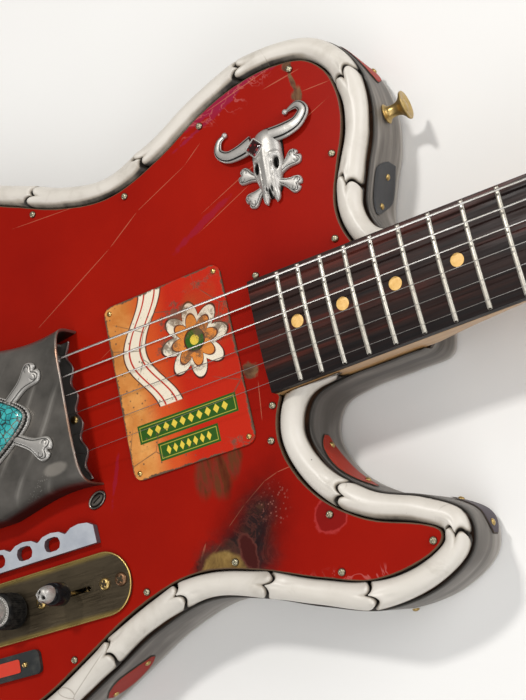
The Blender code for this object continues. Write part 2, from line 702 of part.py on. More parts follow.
def build_trim():
    """The painted tin, the plaque with its raised bar, and the chrome trim."""
    x0, x1, y0, y1 = TIN_BOX
    bm = bmesh.new()
    add_prism(bm, round_box(x0, x1, y0, y1, TIN_CORNER), SEAT, SEAT + TIN_THICK)
    make("tin_plate", bm, TIN_PAINT, smooth=False)

    x0, x1, y0, y1 = PLAQUE_BOX
    bm = bmesh.new()
    add_prism(bm, round_box(x0, x1, y0, y1, 3 * MM), SEAT, SEAT + PLAQUE_THICK)
    plaque = make("side_plaque", bm, BLACK, smooth=False)
    x0, x1, y0, y1 = INLAY_BOX
    bm = bmesh.new()
    add_prism(bm, round_box(x0, x1, y0, y1, 1.2 * MM), SEAT + 0.5 * PLAQUE_THICK,
              SEAT + PLAQUE_THICK + INLAY_RISE)
    boolean(plaque, make("plaque_bar", bm), "UNION")

    x0, x1, y0, y1 = TRIM_BOX
    pitch = (x1 - x0) / TRIM_ARCHES
    crest = 4 * MM
    edge = [(x0, y0), (x1, y0)]
    for k in range(TRIM_ARCHES):
        middle = x1 - (k + 0.5) * pitch
        for step in range(5):
            angle = math.pi * (step + 0.5) / 5
            edge.append((middle + 0.5 * pitch * math.cos(angle), y1 - crest + crest * math.sin(angle)))
    bm = bmesh.new()
    add_prism(bm, edge, SEAT, SEAT + TRIM_THICK)
    trim = make("chrome_trim", bm, CHROME, smooth=False)
    bm = bmesh.new()
    rim = 2.4 * MM
    for k in range(1, TRIM_ARCHES):
        middle = x1 - (k + 0.5) * pitch
        hole = round_box(middle - 0.28 * pitch, middle + 0.28 * pitch, y0 + rim, y1 - rim,
                         0.45 * (y1 - y0) - rim, 2)
        add_prism(bm, hole, SEAT - MM, SEAT + TRIM_THICK + MM)
    boolean(trim, make("trim_holes", bm))


def bone_end(tip, lead, side, knob):
    """Two round lobes at the end of a flat bone, in order round the outline."""
    points = []
    for lobe in (-1, 1):
        middle = tip + side * lobe * knob * 0.85 - lead * knob
        for degrees in ((-110, -60, -15, 30) if lobe < 0 else (-30, 15, 60, 110)):
            angle = math.radians(degrees)
            points.append(tuple(middle + lead * knob * math.cos(angle) + side * knob * math.sin(angle)))
    return points


def bone_outline(start, end, waist, knob, whole):
    """Silhouette of a flat bone, with lobes at both ends or, on a half bone, at the far end only."""
    a = np.array(start) * MM
    b = np.array(end) * MM
    along = (b - a) / np.linalg.norm(b - a)
    side = np.array([-along[1], along[0]])
    neck = knob * 3.2
    points = [tuple(b - along * neck - side * waist)] + bone_end(b, along, side, knob)
    points.append(tuple(b - along * neck + side * waist))
    if whole:
        points.append(tuple(a + along * neck + side * waist))
        points += bone_end(a, -along, -side, knob)
        points.append(tuple(a + along * neck - side * waist))
    else:
        points += [tuple(a + side * waist), tuple(a - side * waist)]
    return points


def build_skull():
    """Cast steer skull with horns over crossed bones, with a square stone in its brow."""
    bm = bmesh.new()
    rings = []
    for y, half, height in SKULL_RINGS:
        middle = SKULL_X + SKULL_LEAN * (y - 83)
        ring = []
        for k in range(9):
            angle = math.pi * k / 8
            rise = height * math.sin(angle) ** 0.8 * MM if 0 < k < 8 else 0
            ring.append(((middle + half * math.cos(angle)) * MM, y * MM, SEAT + rise))
        rings.append(ring)
    add_loft(bm, rings)
    skull = make("skull_plaque", bm, SILVER)
    for number, points in enumerate(HORNS):
        bm = bmesh.new()
        rings = []
        for i, (x, y, radius) in enumerate(points):
            before = points[max(i - 1, 0)]
            after = points[min(i + 1, len(points) - 1)]
            lead = Vector((after[0] - before[0], after[1] - before[1], 0)).normalized()
            turn = Vector((-lead.y, lead.x, 0))
            ring = []
            for k in range(6):
                angle = 2 * math.pi * (k + 0.5) / 6
                offset = turn * radius * math.cos(angle)
                ring.append(((x + offset.x) * MM, (y + offset.y) * MM,
                             SEAT + (0.9 + 0.87 * radius + radius * math.sin(angle)) * MM))
            rings.append(ring)
        add_loft(bm, rings)
        boolean(skull, make("skull_horn_%d" % number, bm), "UNION")
    for number, (start, end) in enumerate(CROSS_BONES):
        bm = bmesh.new()
        add_prism(bm, bone_outline(start, end, 1.5 * MM, 2.5 * MM, True), SEAT + 0.15 * MM * (number + 1),
                  SEAT + CROSS_THICK + 0.3 * MM * number)
        boolean(skull, make("skull_bone_%d" % number, bm), "UNION")
    half = STONE_SIDE / 2
    turned = shift(STONE_PLACE[0] * MM, STONE_PLACE[1] * MM, 0) @ Matrix.Rotation(math.radians(38), 4, "Z")
    floor = SEAT + 2.4 * MM
    bm = bmesh.new()
    lower = [(-half, -half, floor), (half, -half, floor), (half, half, floor), (-half, half, floor)]
    girdle = [(x, y, floor + STONE_GIRDLE) for x, y, z in lower]
    table = [(0.6 * x, 0.6 * y, floor + STONE_GIRDLE + 1.2 * MM) for x, y, z in lower]
    verts = add_loft(bm, [lower, girdle, table])
    bmesh.ops.transform(bm, matrix=turned, verts=verts)
    boolean(skull, make("skull_stone", bm), "UNION")


def cover_section(x, wall, skirt):
    """Round-cornered arch of the bridge cover at one station, set in by the wall."""
    front = 10 * MM
    rear = -8 * MM
    half = COVER_HALF
    height = COVER_HEIGHT
    if x > front:
        share = min((x - front) / (COVER_FRONT - front), 1)
        ease = share * share * (3 - 2 * share)
        half -= (COVER_HALF - COVER_MOUTH_HALF) * ease + COVER_PINCH * math.sin(math.pi * share)
    elif x < rear:
        share = (rear - x) / (rear - COVER_REAR)
        fall = max(1 - share * share, 0.004) ** 0.2
        half *= fall
        height *= fall
    half -= wall
    height -= wall
    ring = []
    for degrees in COVER_ANGLES:
        angle = math.radians(degrees)
        c = math.cos(angle)
        s = max(math.sin(angle), 0)
        y = half * math.copysign(abs(c) ** 0.4, c) if degrees != 90 else 0
        z = height * s ** 0.4 if 0 < degrees < 180 else -skirt
        ring.append((x, y, SEAT + z))
    return ring


def stone_outline(radius, count):
    """Rounded triangle that points to the neck: a circle with a third-turn wave added."""
    wave = STONE_WAVE * radius
    middle = STONE_TIP - STONE_REACH * (1 + STONE_WAVE)
    points = []
    for k in range(count):
        angle = 2 * math.pi * k / count
        points.append((middle + radius * math.cos(angle) + wave * math.cos(2 * angle),
                       radius * math.sin(angle) - wave * math.sin(2 * angle)))
    return points


def bridge_holes(floor, top, turn):
    """Pickup window, string holes and saddle screw holes of the base tray."""
    bm = bmesh.new()
    hole = slot_outline(0, 0, PICKUP_LENGTH + 2 * MM, PICKUP_WIDTH + 2 * MM, 5)
    verts = add_prism(bm, [(-y, x) for x, y in hole], floor - MM, top + MM)
    bmesh.ops.transform(bm, matrix=turn, verts=verts)
    for i in range(6):
        add_turned(bm, [(STRING_BORE, floor - MM), (STRING_BORE, top + MM)], 8,
                   shift(-ANCHOR_BACK, string_y(i, BRIDGE_SPREAD), 0))
    for pair in range(3):
        add_turned(bm, [(SADDLE_SCREW_RADIUS + FIT, -3 * MM), (SADDLE_SCREW_RADIUS + FIT, 3 * MM)], 8,
                   aimed(PLATE_REAR, saddle_y(pair), SCREW_LEVEL, (1, 0, 0)))
    return make("plate_holes", bm)


def saddle_y(pair):
    return (string_y(2 * pair, BRIDGE_SPREAD) + string_y(2 * pair + 1, BRIDGE_SPREAD)) / 2


def build_saddles(top):
    """Three barrels, tilted to the strings' arch, each with two height screws and a long screw."""
    for pair in range(3):
        touch = []
        for i in (2 * pair, 2 * pair + 1):
            y = string_y(i, BRIDGE_SPREAD)
            touch.append(Vector((0, y, string_z(y, STRING_RISE) - GAUGES[i] / 2 * MM - FIT)))
        lead = (touch[0] - touch[1]).normalized()
        up = Vector((1, 0, 0)).cross(lead)
        up = up if up.z > 0 else -up
        middle = (touch[0] + touch[1]) / 2 - up * SADDLE_RADIUS
        half = SADDLE_LENGTH / 2
        bm = bmesh.new()
        add_turned(bm, [(0.86 * SADDLE_RADIUS, -half), (SADDLE_RADIUS, -half + 0.6 * MM),
                        (SADDLE_RADIUS, half - 0.6 * MM), (0.86 * SADDLE_RADIUS, half)], 12,
                   aimed(middle.x, middle.y, middle.z, lead))
        saddle = make("saddle_%d" % (pair + 1), bm, BRASS)
        bm = bmesh.new()
        for side in (-1, 1):
            add_turned(bm, [(HEIGHT_SCREW_RADIUS, top + FIT), (HEIGHT_SCREW_RADIUS, middle.z)], 8,
                       shift(0, middle.y + side * HEIGHT_SCREW_OFFSET, 0))
        rear = PLATE_REAR - 3.4 * MM
        add_turned(bm, [(2.2 * MM, 0), (2.2 * MM, 3.1 * MM), (SADDLE_SCREW_RADIUS, 3.1 * MM),
                        (SADDLE_SCREW_RADIUS, -rear)], 8,
                   aimed(rear, saddle_y(pair), SCREW_LEVEL, (1, 0, 0)))
        boolean(saddle, make("saddle_screws_%d" % (pair + 1), bm), "UNION")


def build_bridge():
    """Scalloped base tray, saddles, pickup, and the folded cover."""
    floor = SEAT
    top = SEAT + PLATE_THICK
    edge = [(PLATE_REAR, PLATE_HALF), (PLATE_REAR, -PLATE_HALF)]
    count = SCALLOPS * 5
    for k in range(count + 1):
        share = k / count
        edge.append((PLATE_FRONT + SCALLOP * (math.cos(2 * math.pi * SCALLOPS * share) - 1),
                     PLATE_HALF * (2 * share - 1)))
    bm = bmesh.new()
    add_prism(bm, edge, floor, top)
    plate = make("bridge_plate", bm, GREY_TIN, smooth=False)
    wall = 1.2 * MM
    x0 = PLATE_REAR
    x1 = PLATE_FRONT - 5 * MM
    y = PLATE_HALF
    lip = [(x1, y), (x0, y), (x0, -y), (x1, -y), (x1, wall - y), (x0 + wall, wall - y),
           (x0 + wall, y - wall), (x1, y - wall)]
    bm = bmesh.new()
    add_prism(bm, lip, floor + 0.5 * PLATE_THICK, top + PLATE_LIP)
    boolean(plate, make("plate_lip", bm), "UNION")
    bm = bmesh.new()
    for x, y in BRIDGE_SCREWS:
        add_turned(bm, [(0, TOP - 15 * MM), (BRIDGE_SCREW_RADIUS, TOP - 12 * MM),
                        (BRIDGE_SCREW_RADIUS, top - 0.5 * PLATE_THICK), (2.7 * MM, top - 0.5 * PLATE_THICK),
                        (2.7 * MM, top + 0.4 * MM), (1.8 * MM, top + 1.4 * MM)], 8, shift(x, y, 0))
    boolean(plate, make("plate_screws", bm), "UNION")
    turn = shift(PICKUP_X, 0, 0) @ Matrix.Rotation(PICKUP_SLANT, 4, "Z")
    boolean(plate, bridge_holes(floor, top, turn))
    build_saddles(top)

    low = TOP - PICKUP_DEPTH
    high = TOP + PICKUP_RISE
    rows = []
    for length, level in ((PICKUP_LENGTH + 8 * MM, low), (PICKUP_LENGTH + 8 * MM, low + 2 * MM),
                          (PICKUP_LENGTH, low + 2 * MM), (PICKUP_LENGTH, high)):
        rows.append([(-y, x, level) for x, y in slot_outline(0, 0, length, PICKUP_WIDTH, 5)])
    bm = bmesh.new()
    verts = add_loft(bm, rows)
    bmesh.ops.transform(bm, matrix=turn, verts=verts)
    pickup = make("pickup", bm, BLACK, smooth=False)
    bm = bmesh.new()
    for i in range(6):
        reach = string_y(i, BRIDGE_SPREAD) / math.cos(PICKUP_SLANT)
        add_turned(bm, [(POLE_RADIUS, high - 3 * MM), (POLE_RADIUS, high + 0.4 * MM),
                        (0.7 * POLE_RADIUS, high + 0.8 * MM)], 8, turn @ shift(0, reach, 0))
    boolean(pickup, make("pickup_poles", bm), "UNION")

    stations = [x * MM for x in (-41, -36, -26, -8, 10, 24, 38, 52)]
    bm = bmesh.new()
    add_loft(bm, [cover_section(x, 0, 0) for x in [COVER_REAR + 0.3 * MM] + stations + [COVER_FRONT]])
    cover = make("bridge_cover", bm, GREY_TIN)
    inner = [COVER_REAR + 2.2 * MM, -40 * MM] + stations[1:] + [COVER_FRONT, COVER_FRONT + 5 * MM]
    bm = bmesh.new()
    add_loft(bm, [cover_section(x, COVER_WALL, 3 * MM) for x in inner])
    boolean(cover, make("cover_hollow", bm))


def build_badge():
    """Bezel with four half bones cast on, and the domed stone that it holds."""
    deck = SEAT + COVER_HEIGHT + FIT
    count = 24
    outer = stone_outline(STONE_REACH, count)
    inside = stone_outline(STONE_REACH - BEZEL_WALL, count)
    bm = bmesh.new()
    rows = []
    for curve, level in ((outer, deck), (outer, deck + BEZEL_HEIGHT), (inside, deck + BEZEL_HEIGHT),
                         (inside, deck)):
        rows.append([bm.verts.new((x, y, level)) for x, y in curve])
    close_rows(bm, rows)
    bezel = make("stone_bezel", bm, SILVER)
    bm = bmesh.new()
    for end in COVER_BONES:
        add_prism(bm, bone_outline(COVER_BONE_START, end, 2.6 * MM, 4.0 * MM, False), deck + 0.05 * MM,
                  deck + COVER_BONE_THICK)
    bones = make("bezel_bones", bm)
    bm = bmesh.new()
    add_prism(bm, stone_outline(STONE_REACH - 0.5 * BEZEL_WALL, count), deck - MM, deck + 9 * MM)
    boolean(bones, make("bones_trim", bm))
    boolean(bezel, bones, "UNION")
    rings = []
    for inset_by, rise in ((0, 0), (0, 2.2), (1.6, 3.8), (5.5, 5.2), (11.0, 6.0)):
        radius = STONE_REACH - BEZEL_WALL - FIT - inset_by * MM
        rings.append([(x, y, deck + rise * MM) for x, y in stone_outline(radius, 18)])
    bm = bmesh.new()
    add_loft(bm, rings)
    make("turquoise_stone", bm, TURQUOISE)


def control_screw_places():
    """Places along X of the plate's end screws and of the switch's two screws."""
    ends = [CONTROL_X + side * (CONTROL_LENGTH / 2 - PLATE_SCREW_INSET) for side in (-1, 1)]
    sides = [SWITCH_X + side * SWITCH_SCREW_GAP / 2 for side in (-1, 1)]
    return ends, sides


def build_control_plate():
    """Plate with its screws, and below it the two pots and the switch frame with its pin."""
    under = SEAT
    top = SEAT + CONTROL_THICK
    bm = bmesh.new()
    add_prism(bm, slot_outline(CONTROL_X, CONTROL_Y, CONTROL_LENGTH, CONTROL_WIDTH, 9), under, top)
    plate = make("control_plate", bm, BRASS, smooth=False)
    bm = bmesh.new()
    half = SWITCH_SCREW_GAP / 2 - 3 * MM
    add_box(bm, (SWITCH_X - half, CONTROL_Y - SWITCH_HALF, SWITCH_PIVOT - 9 * MM),
            (SWITCH_X + half, CONTROL_Y + SWITCH_HALF, under + 0.5 * CONTROL_THICK))
    for x in (VOLUME_X, TONE_X):
        add_turned(bm, [(POT_RADIUS, under - POT_DEPTH), (POT_RADIUS, under - FIT),
                        (POT_BUSHING, under - FIT), (POT_BUSHING, top + POT_NUT)], 14,
                   shift(x, CONTROL_Y, 0))
    ends, sides = control_screw_places()
    for x in ends + sides:
        middle = top - 0.5 * CONTROL_THICK
        add_turned(bm, [(CONTROL_SCREW_RADIUS, top - 4.6 * MM), (CONTROL_SCREW_RADIUS, middle),
                        (3.0 * MM, middle), (3.0 * MM, top + 0.3 * MM), (1.9 * MM, top + 1.5 * MM)],
                   8, shift(x, CONTROL_Y, 0))
    boolean(plate, make("control_fittings", bm), "UNION")
    bm = bmesh.new()
    add_prism(bm, slot_outline(SWITCH_X, CONTROL_Y, SLOT_LENGTH, SLOT_WIDTH, 2), under - 2 * MM, top + MM)
    for x in (VOLUME_X, TONE_X):
        add_turned(bm, [(POT_SHAFT + FIT, under - POT_DEPTH - MM), (POT_SHAFT + FIT, top + 3 * MM)], 12,
                   shift(x, CONTROL_Y, 0))
    boolean(plate, make("control_holes", bm))
    bm = bmesh.new()
    reach = SLOT_LENGTH / 2
    add_box(bm, (SWITCH_X - reach, CONTROL_Y - 1.9 * MM, SWITCH_PIVOT - 7 * MM),
            (SWITCH_X + reach, CONTROL_Y + 1.9 * MM, under - FIT))
    boolean(plate, make("switch_hollow", bm))
    bm = bmesh.new()
    add_turned(bm, [(PIN_RADIUS, -4 * MM), (PIN_RADIUS, 4 * MM)], 10,
               aimed(SWITCH_X, CONTROL_Y, SWITCH_PIVOT, (0, 1, 0)))
    boolean(plate, make("switch_pin", bm), "UNION")


def build_lever():
    """Lever of the switch with its tip and cap, bored for the pin."""
    rise = (TOP + TIP_LOW - SWITCH_PIVOT) / MM + 8
    blade = [(-2.2, rise), (2.2, rise), (2.2, 4.0), (4.2, 1.5), (4.2, -2.5), (2.0, -4.6), (-2.0, -4.6),
             (-4.2, -2.5), (-4.2, 1.5), (-2.2, 4.0)]
    bm = bmesh.new()
    verts = add_prism(bm, [(x * MM, z * MM) for x, z in reversed(blade)], -LEVER_THICK / 2, LEVER_THICK / 2)
    place = shift(SWITCH_X, CONTROL_Y, SWITCH_PIVOT) @ Matrix.Rotation(math.radians(90), 4, "X")
    bmesh.ops.transform(bm, matrix=place, verts=verts)
    lever = make("switch_lever", bm, BRASS, smooth=False)
    low = TOP + TIP_LOW
    high = low + TIP_HEIGHT
    bm = bmesh.new()
    add_turned(bm, [(0.86 * TIP_RADIUS, low), (TIP_RADIUS, low + MM), (TIP_RADIUS, high - MM),
                    (0.7 * TIP_CAP, high), (TIP_CAP, high + 4 * MM), (0.94 * TIP_CAP, high + 8 * MM),
                    (0.55 * TIP_CAP, high + 11 * MM), (0, high + 12 * MM)], 12, shift(SWITCH_X, CONTROL_Y, 0))
    boolean(lever, make("lever_tip", bm), "UNION")
    bm = bmesh.new()
    add_turned(bm, [(PIN_RADIUS + FIT, -4 * MM), (PIN_RADIUS + FIT, 4 * MM)], 10,
               aimed(SWITCH_X, CONTROL_Y, SWITCH_PIVOT, (0, 1, 0)))
    boolean(lever, make("lever_bore", bm))
    move_origin(lever, (SWITCH_X, CONTROL_Y, SWITCH_PIVOT))


def build_knobs():
    """Two knobs with their shafts and skull caps."""
    foot = SEAT + CONTROL_THICK + POT_NUT + FIT
    crest = foot + KNOB_HEIGHT
    for name, x in (("volume_knob", VOLUME_X), ("tone_knob", TONE_X)):
        bm = bmesh.new()
        add_turned(bm, [(POT_SHAFT, SEAT - POT_DEPTH + 2 * MM), (POT_SHAFT, foot), (KNOB_RADIUS, foot),
                        (KNOB_RADIUS, crest - MM), (0.75 * SKULL_CAP, crest), (SKULL_CAP, crest + 2.5 * MM),
                        (0.93 * SKULL_CAP, crest + 5.5 * MM), (0.6 * SKULL_CAP, crest + 8 * MM),
                        (0, crest + 9 * MM)], 16, shift(x, CONTROL_Y, 0))
        knob = make(name, bm, BLACK)
        move_origin(knob, (x, CONTROL_Y, foot))


def build_jack_and_buttons():
    """Side jack in its cup, and the strap buttons with their screws."""
    place = jack_place()
    radius = JACK_CUP_RADIUS
    bm = bmesh.new()
    add_closed_turned(bm, [(JACK_BORE, -JACK_DEPTH), (7.5 * MM, -JACK_DEPTH), (7.5 * MM, -14 * MM),
                           (radius, -14 * MM), (radius, 0.3 * MM), (radius - 1.6 * MM, 0.3 * MM),
                           (radius - 1.6 * MM, -12 * MM), (4.9 * MM, -12 * MM), (4.9 * MM, -8.5 * MM),
                           (JACK_BORE, -8.5 * MM)], JACK_SIDES, place)
    make("jack_cup", bm, CHROME)
    for number, (x, y, aim) in enumerate(STRAP_PLACES):
        bm = bmesh.new()
        add_turned(bm, [(0, -26 * MM), (STRAP_SCREW_RADIUS, -22 * MM), (STRAP_SCREW_RADIUS, 2 * FIT),
                        (5.6 * MM, 2 * FIT), (4.4 * MM, 2.4 * MM), (3.6 * MM, 5.4 * MM),
                        (STRAP_BUTTON_RADIUS, 10.2 * MM), (STRAP_BUTTON_RADIUS, 11.6 * MM),
                        (3.8 * MM, 10.6 * MM), (3.0 * MM, 11.8 * MM), (0, 12.2 * MM)], 12,
                   strap_place(x, y, aim))
        make("strap_button_%s" % ("neck", "tail")[number], bm, BRASS)


def neck_ring(x, top, depth, power):
    """Section of the neck: flat on top, below it a superellipse between a block and a round back."""
    half = neck_half(min(x, SCALE))
    ring = []
    for k in range(11):
        angle = math.pi * k / 10
        c = math.cos(angle)
        y = half * math.copysign(abs(c) ** (2 / power), c) if k != 5 else 0
        ring.append((x, y, top - depth * math.sin(angle) ** (2 / power) if 0 < k < 10 else top))
    return ring


def head_outline():
    """Six-a-side head: the tuner edge runs beside the row of posts, the tip is round."""
    slant, along = head_slant()
    first = Vector(post_place(0) + (0,))
    last = Vector(post_place(5) + (0,))
    corner = first + slant * HEAD_MARGIN - along * 13 * MM
    turn = last + slant * HEAD_MARGIN + along * 13 * MM
    tip = last.x + 25 * MM
    half = neck_half(SCALE)
    start = SCALE + NUT_LENGTH
    return [(start, -half - 0.3 * MM), (start + 10 * MM, -half - 2.0 * MM),
            (start + 30 * MM, -half - 4.0 * MM),
            (last.x - 60 * MM, -31 * MM), (last.x - 20 * MM, -37.5 * MM), (last.x + 8 * MM, -39.5 * MM),
            (last.x + 20 * MM, -35 * MM), (tip, -26 * MM), (tip, -14 * MM),
            (turn.x + 5 * MM, turn.y - 3 * MM), (turn.x, turn.y),
            (corner.x + 3 * MM, corner.y - 0.4 * MM), (corner.x - 3 * MM, corner.y - 2 * MM),
            (start + 10 * MM, half + 4.0 * MM), (start + 4 * MM, half + 1.2 * MM), (start, half + 0.3 * MM)]


def build_neck():
    """Bolt-on neck with its head, tuner housings, bushings, string tree and joint screws."""
    block = HEEL_END + HEEL_BLOCK
    end = SCALE + NUT_LENGTH + FIT
    rings = [neck_ring(HEEL_END, GLUE, HEEL_THICK, 9), neck_ring(block, GLUE, HEEL_THICK, 9),
             neck_ring(block + 18 * MM, GLUE, NECK_THICK_BODY + 0.9 * MM, 4.0),
             neck_ring(block + 45 * MM, GLUE, NECK_THICK_BODY, 2.3),
             neck_ring(SCALE - 90 * MM, GLUE, NECK_THICK_NUT + 0.5 * MM, 2.3),
             neck_ring(SCALE - 22 * MM, GLUE, NECK_THICK_NUT, 2.3),
             neck_ring(end, GLUE, NECK_THICK_NUT + 1.4 * MM, 3.2),
             neck_ring(end + 6 * MM, HEAD_FACE + 1.2 * MM, HEAD_THICK - 0.6 * MM, 6),
             neck_ring(end + 14 * MM, HEAD_FACE - 1.0 * MM, HEAD_THICK - 2.0 * MM, 8)]
    bm = bmesh.new()
    add_loft(bm, rings)
    neck = make("neck", bm, MAPLE)
    bm = bmesh.new()
    add_prism(bm, head_outline(), HEAD_BACK, HEAD_FACE)
    boolean(neck, make("neck_head", bm), "UNION")

    slant, along = head_slant()
    turn = Matrix(((along.x, slant.x, 0), (along.y, slant.y, 0), (0, 0, 1))).to_4x4()
    parts = bmesh.new()
    bores = bmesh.new()
    worms = bmesh.new()
    low = HEAD_BACK - HOUSING_HEIGHT
    for i in range(6):
        x, y = post_place(i)
        verts = add_prism(parts, round_box(-5.0 * MM, HOUSING_WIDTH - 5.0 * MM, -7.0 * MM,
                                           HOUSING_LENGTH - 7.0 * MM, 2 * MM, 1),
                          low, HEAD_BACK + MM)
        bmesh.ops.transform(parts, matrix=shift(x, y, 0) @ turn, verts=verts)
        add_turned(parts, [(BUSHING_RADIUS, HEAD_FACE - MM), (BUSHING_RADIUS, HEAD_FACE + 1.5 * MM)], 10,
                   shift(x, y, 0))
        add_turned(bores, [(POST_RADIUS + FIT, low + MM), (POST_RADIUS + FIT, HEAD_FACE + 5 * MM)], 10,
                   shift(x, y, 0))
        worm = worm_place(i)
        add_turned(worms, [(WORM_RADIUS + FIT, -5 * MM), (WORM_RADIUS + FIT, HOUSING_LENGTH)], 8,
                   aimed(worm.x, worm.y, worm.z, slant))
    for x, y in NECK_SCREWS:
        add_turned(parts, [(3.0 * MM, 0.6 * MM), (4.2 * MM, 1.4 * MM), (4.2 * MM, CUP_DEPTH),
                           (NECK_SCREW_RADIUS, CUP_DEPTH), (NECK_SCREW_RADIUS, HEEL_FLOOR + 8 * MM)], 8,
                   shift(x, y, 0))
    y = tree_y()
    clear = tree_level()
    half = TREE_HALF
    add_turned(parts, [(2.4 * MM, HEAD_FACE - MM), (1.9 * MM, HEAD_FACE + 2 * MM),
                       (1.9 * MM, clear + 0.8 * MM)], 8, shift(TREE_X, y, 0))
    boolean(neck, make("neck_fittings", parts), "UNION")
    bm = bmesh.new()
    add_box(bm, (TREE_X - 2.2 * MM, y - half, clear), (TREE_X + 2.2 * MM, y + half, clear + 1.2 * MM))
    boolean(neck, make("tree_bar", bm), "UNION")
    boolean(neck, make("post_bores", bores))
    boolean(neck, make("worm_bores", worms))


def worm_place(index):
    """Middle of a worm shaft beside its post, half way up the housing."""
    slant, along = head_slant()
    x, y = post_place(index)
    return Vector((x, y, HEAD_BACK - HOUSING_HEIGHT / 2)) + along * WORM_OFFSET


def build_board():
    """Fingerboard with its frets, and the slotted nut."""
    shares = (1, 0.5, 0, -0.5, -1)
    rings = []
    for x in (HEEL_END, SCALE - FIT):
        half = neck_half(x)
        ring = [(x, half * share, BOARD_TOP - crown(half * share)) for share in shares]
        ring += [(x, -half, GLUE + FIT), (x, half, GLUE + FIT)]
        rings.append(ring)
    bm = bmesh.new()
    add_loft(bm, rings)
    board = make("fingerboard", bm, ROSEWOOD, smooth=False)
    bm = bmesh.new()
    for number in range(1, FRETS + 1):
        x = fret_x(number)
        half = neck_half(x)
        wide = FRET_WIDTH / 2
        rings = []
        for share in shares:
            y = (half - FRET_END) * share
            level = BOARD_TOP - crown(half * share)
            rings.append([(x - wide, y, level - 0.5 * MM), (x - 0.5 * wide, y, level + FRET_HEIGHT),
                          (x + 0.5 * wide, y, level + FRET_HEIGHT), (x + wide, y, level - 0.5 * MM)])
        add_loft(bm, rings)
    boolean(board, make("frets", bm), "UNION")

    half = neck_half(SCALE)
    rings = []
    for x in (SCALE, SCALE + NUT_LENGTH):
        ring = []
        for share in shares:
            y = half * share
            ring.append((x, y, string_z(y, NUT_RISE) + NUT_LIP))
        ring += [(x, -half, GLUE + FIT), (x, half, GLUE + FIT)]
        rings.append(ring)
    bm = bmesh.new()
    add_loft(bm, rings)
    nut = make("nut", bm, BONE, smooth=False)
    bm = bmesh.new()
    for i in range(6):
        y = string_y(i, NUT_SPREAD)
        radius = GAUGES[i] / 2 * MM
        add_box(bm, (SCALE - MM, y - radius - FIT, string_z(y, NUT_RISE) - radius - FIT),
                (SCALE + NUT_LENGTH + MM, y + radius + FIT, BOARD_TOP + 6 * MM))
    boolean(nut, make("nut_slots", bm))


def build_tuners():
    """Six tuner posts, and the six buttons on their worm shafts."""
    slant, along = head_slant()
    low = HEAD_BACK - HOUSING_HEIGHT
    for i in range(6):
        x, y = post_place(i)
        bm = bmesh.new()
        crest = HEAD_FACE + POST_RISE
        add_turned(bm, [(POST_FOOT, low + MM + FIT), (POST_FOOT, HEAD_BACK), (POST_RADIUS, HEAD_BACK + MM),
                        (POST_RADIUS, crest - MM), (POST_RADIUS - 0.8 * MM, crest)], 12,
                   shift(x, y, 0))
        post = make("tuner_post_%d" % (6 - i), bm, CHROME)
        move_origin(post, (x, y, HEAD_FACE))
        worm = worm_place(i)
        rings = []
        for step, across, thick in BUTTON_RINGS:
            ring = []
            for k in range(8):
                angle = 2 * math.pi * k / 8
                spot = worm + slant * step * MM + along * across * math.cos(angle) * MM
                ring.append((spot.x, spot.y, spot.z + thick * math.sin(angle) * MM))
            rings.append(ring)
        bm = bmesh.new()
        add_loft(bm, rings)
        button = make("tuner_button_%d" % (6 - i), bm, CHROME)
        move_origin(button, worm)


def string_route(index):
    """Centre line of one string: its straight stretches from the ferrule, and its turns on the post."""
    radius = GAUGES[index] / 2 * MM
    y0 = string_y(index, BRIDGE_SPREAD)
    y1 = string_y(index, NUT_SPREAD)
    z0 = string_z(y0, STRING_RISE)
    z1 = string_z(y1, NUT_RISE)
    bend = SADDLE_RADIUS + FIT + radius
    hub = z0 - bend
    arc = [(-bend * math.sin(a), hub + bend * math.cos(a)) for a in (math.radians(32), math.radians(16))]
    slope = math.tan(math.radians(32))
    foot = arc[0][1] - slope * (ANCHOR_BACK + arc[0][0])
    points = [(-ANCHOR_BACK, y0, 4 * MM), (-ANCHOR_BACK, y0, foot - 2.2 * MM),
              (-ANCHOR_BACK + 0.4 * MM, y0, foot - 0.5 * MM),
              (-ANCHOR_BACK + 2 * MM, y0, foot + 2 * slope * MM)]
    points += [(x, y0, z) for x, z in arc]
    end = SCALE + NUT_LENGTH
    y_end = y1 + (y1 - y0) * NUT_LENGTH / SCALE
    points += [(0, y0, z0), (SCALE, y1, z1), (end, y_end, z1)]
    px, py = post_place(index)
    wrap = POST_RADIUS + FIT + radius
    if index > 3:
        share = (TREE_X - end) / (px - end)
        points.append((TREE_X, y_end + (py - wrap - y_end) * share, HEAD_FACE + TREE_RISE))
    pitch = 2 * radius + WIND_GAP
    turns = []
    for k in range(int(WIND_TURNS * WIND_STEPS) + 1):
        angle = -math.pi / 2 + 2 * math.pi * k / WIND_STEPS
        turns.append((px + wrap * math.cos(angle), py + wrap * math.sin(angle),
                      HEAD_FACE + WIND_TOP - pitch * k / WIND_STEPS))
    return points, turns, radius


def tree_y():
    return (string_route(4)[0][-1][1] + string_route(5)[0][-1][1]) / 2


def tree_level():
    return HEAD_FACE + TREE_RISE + FIT + GAUGES[4] / 2 * MM


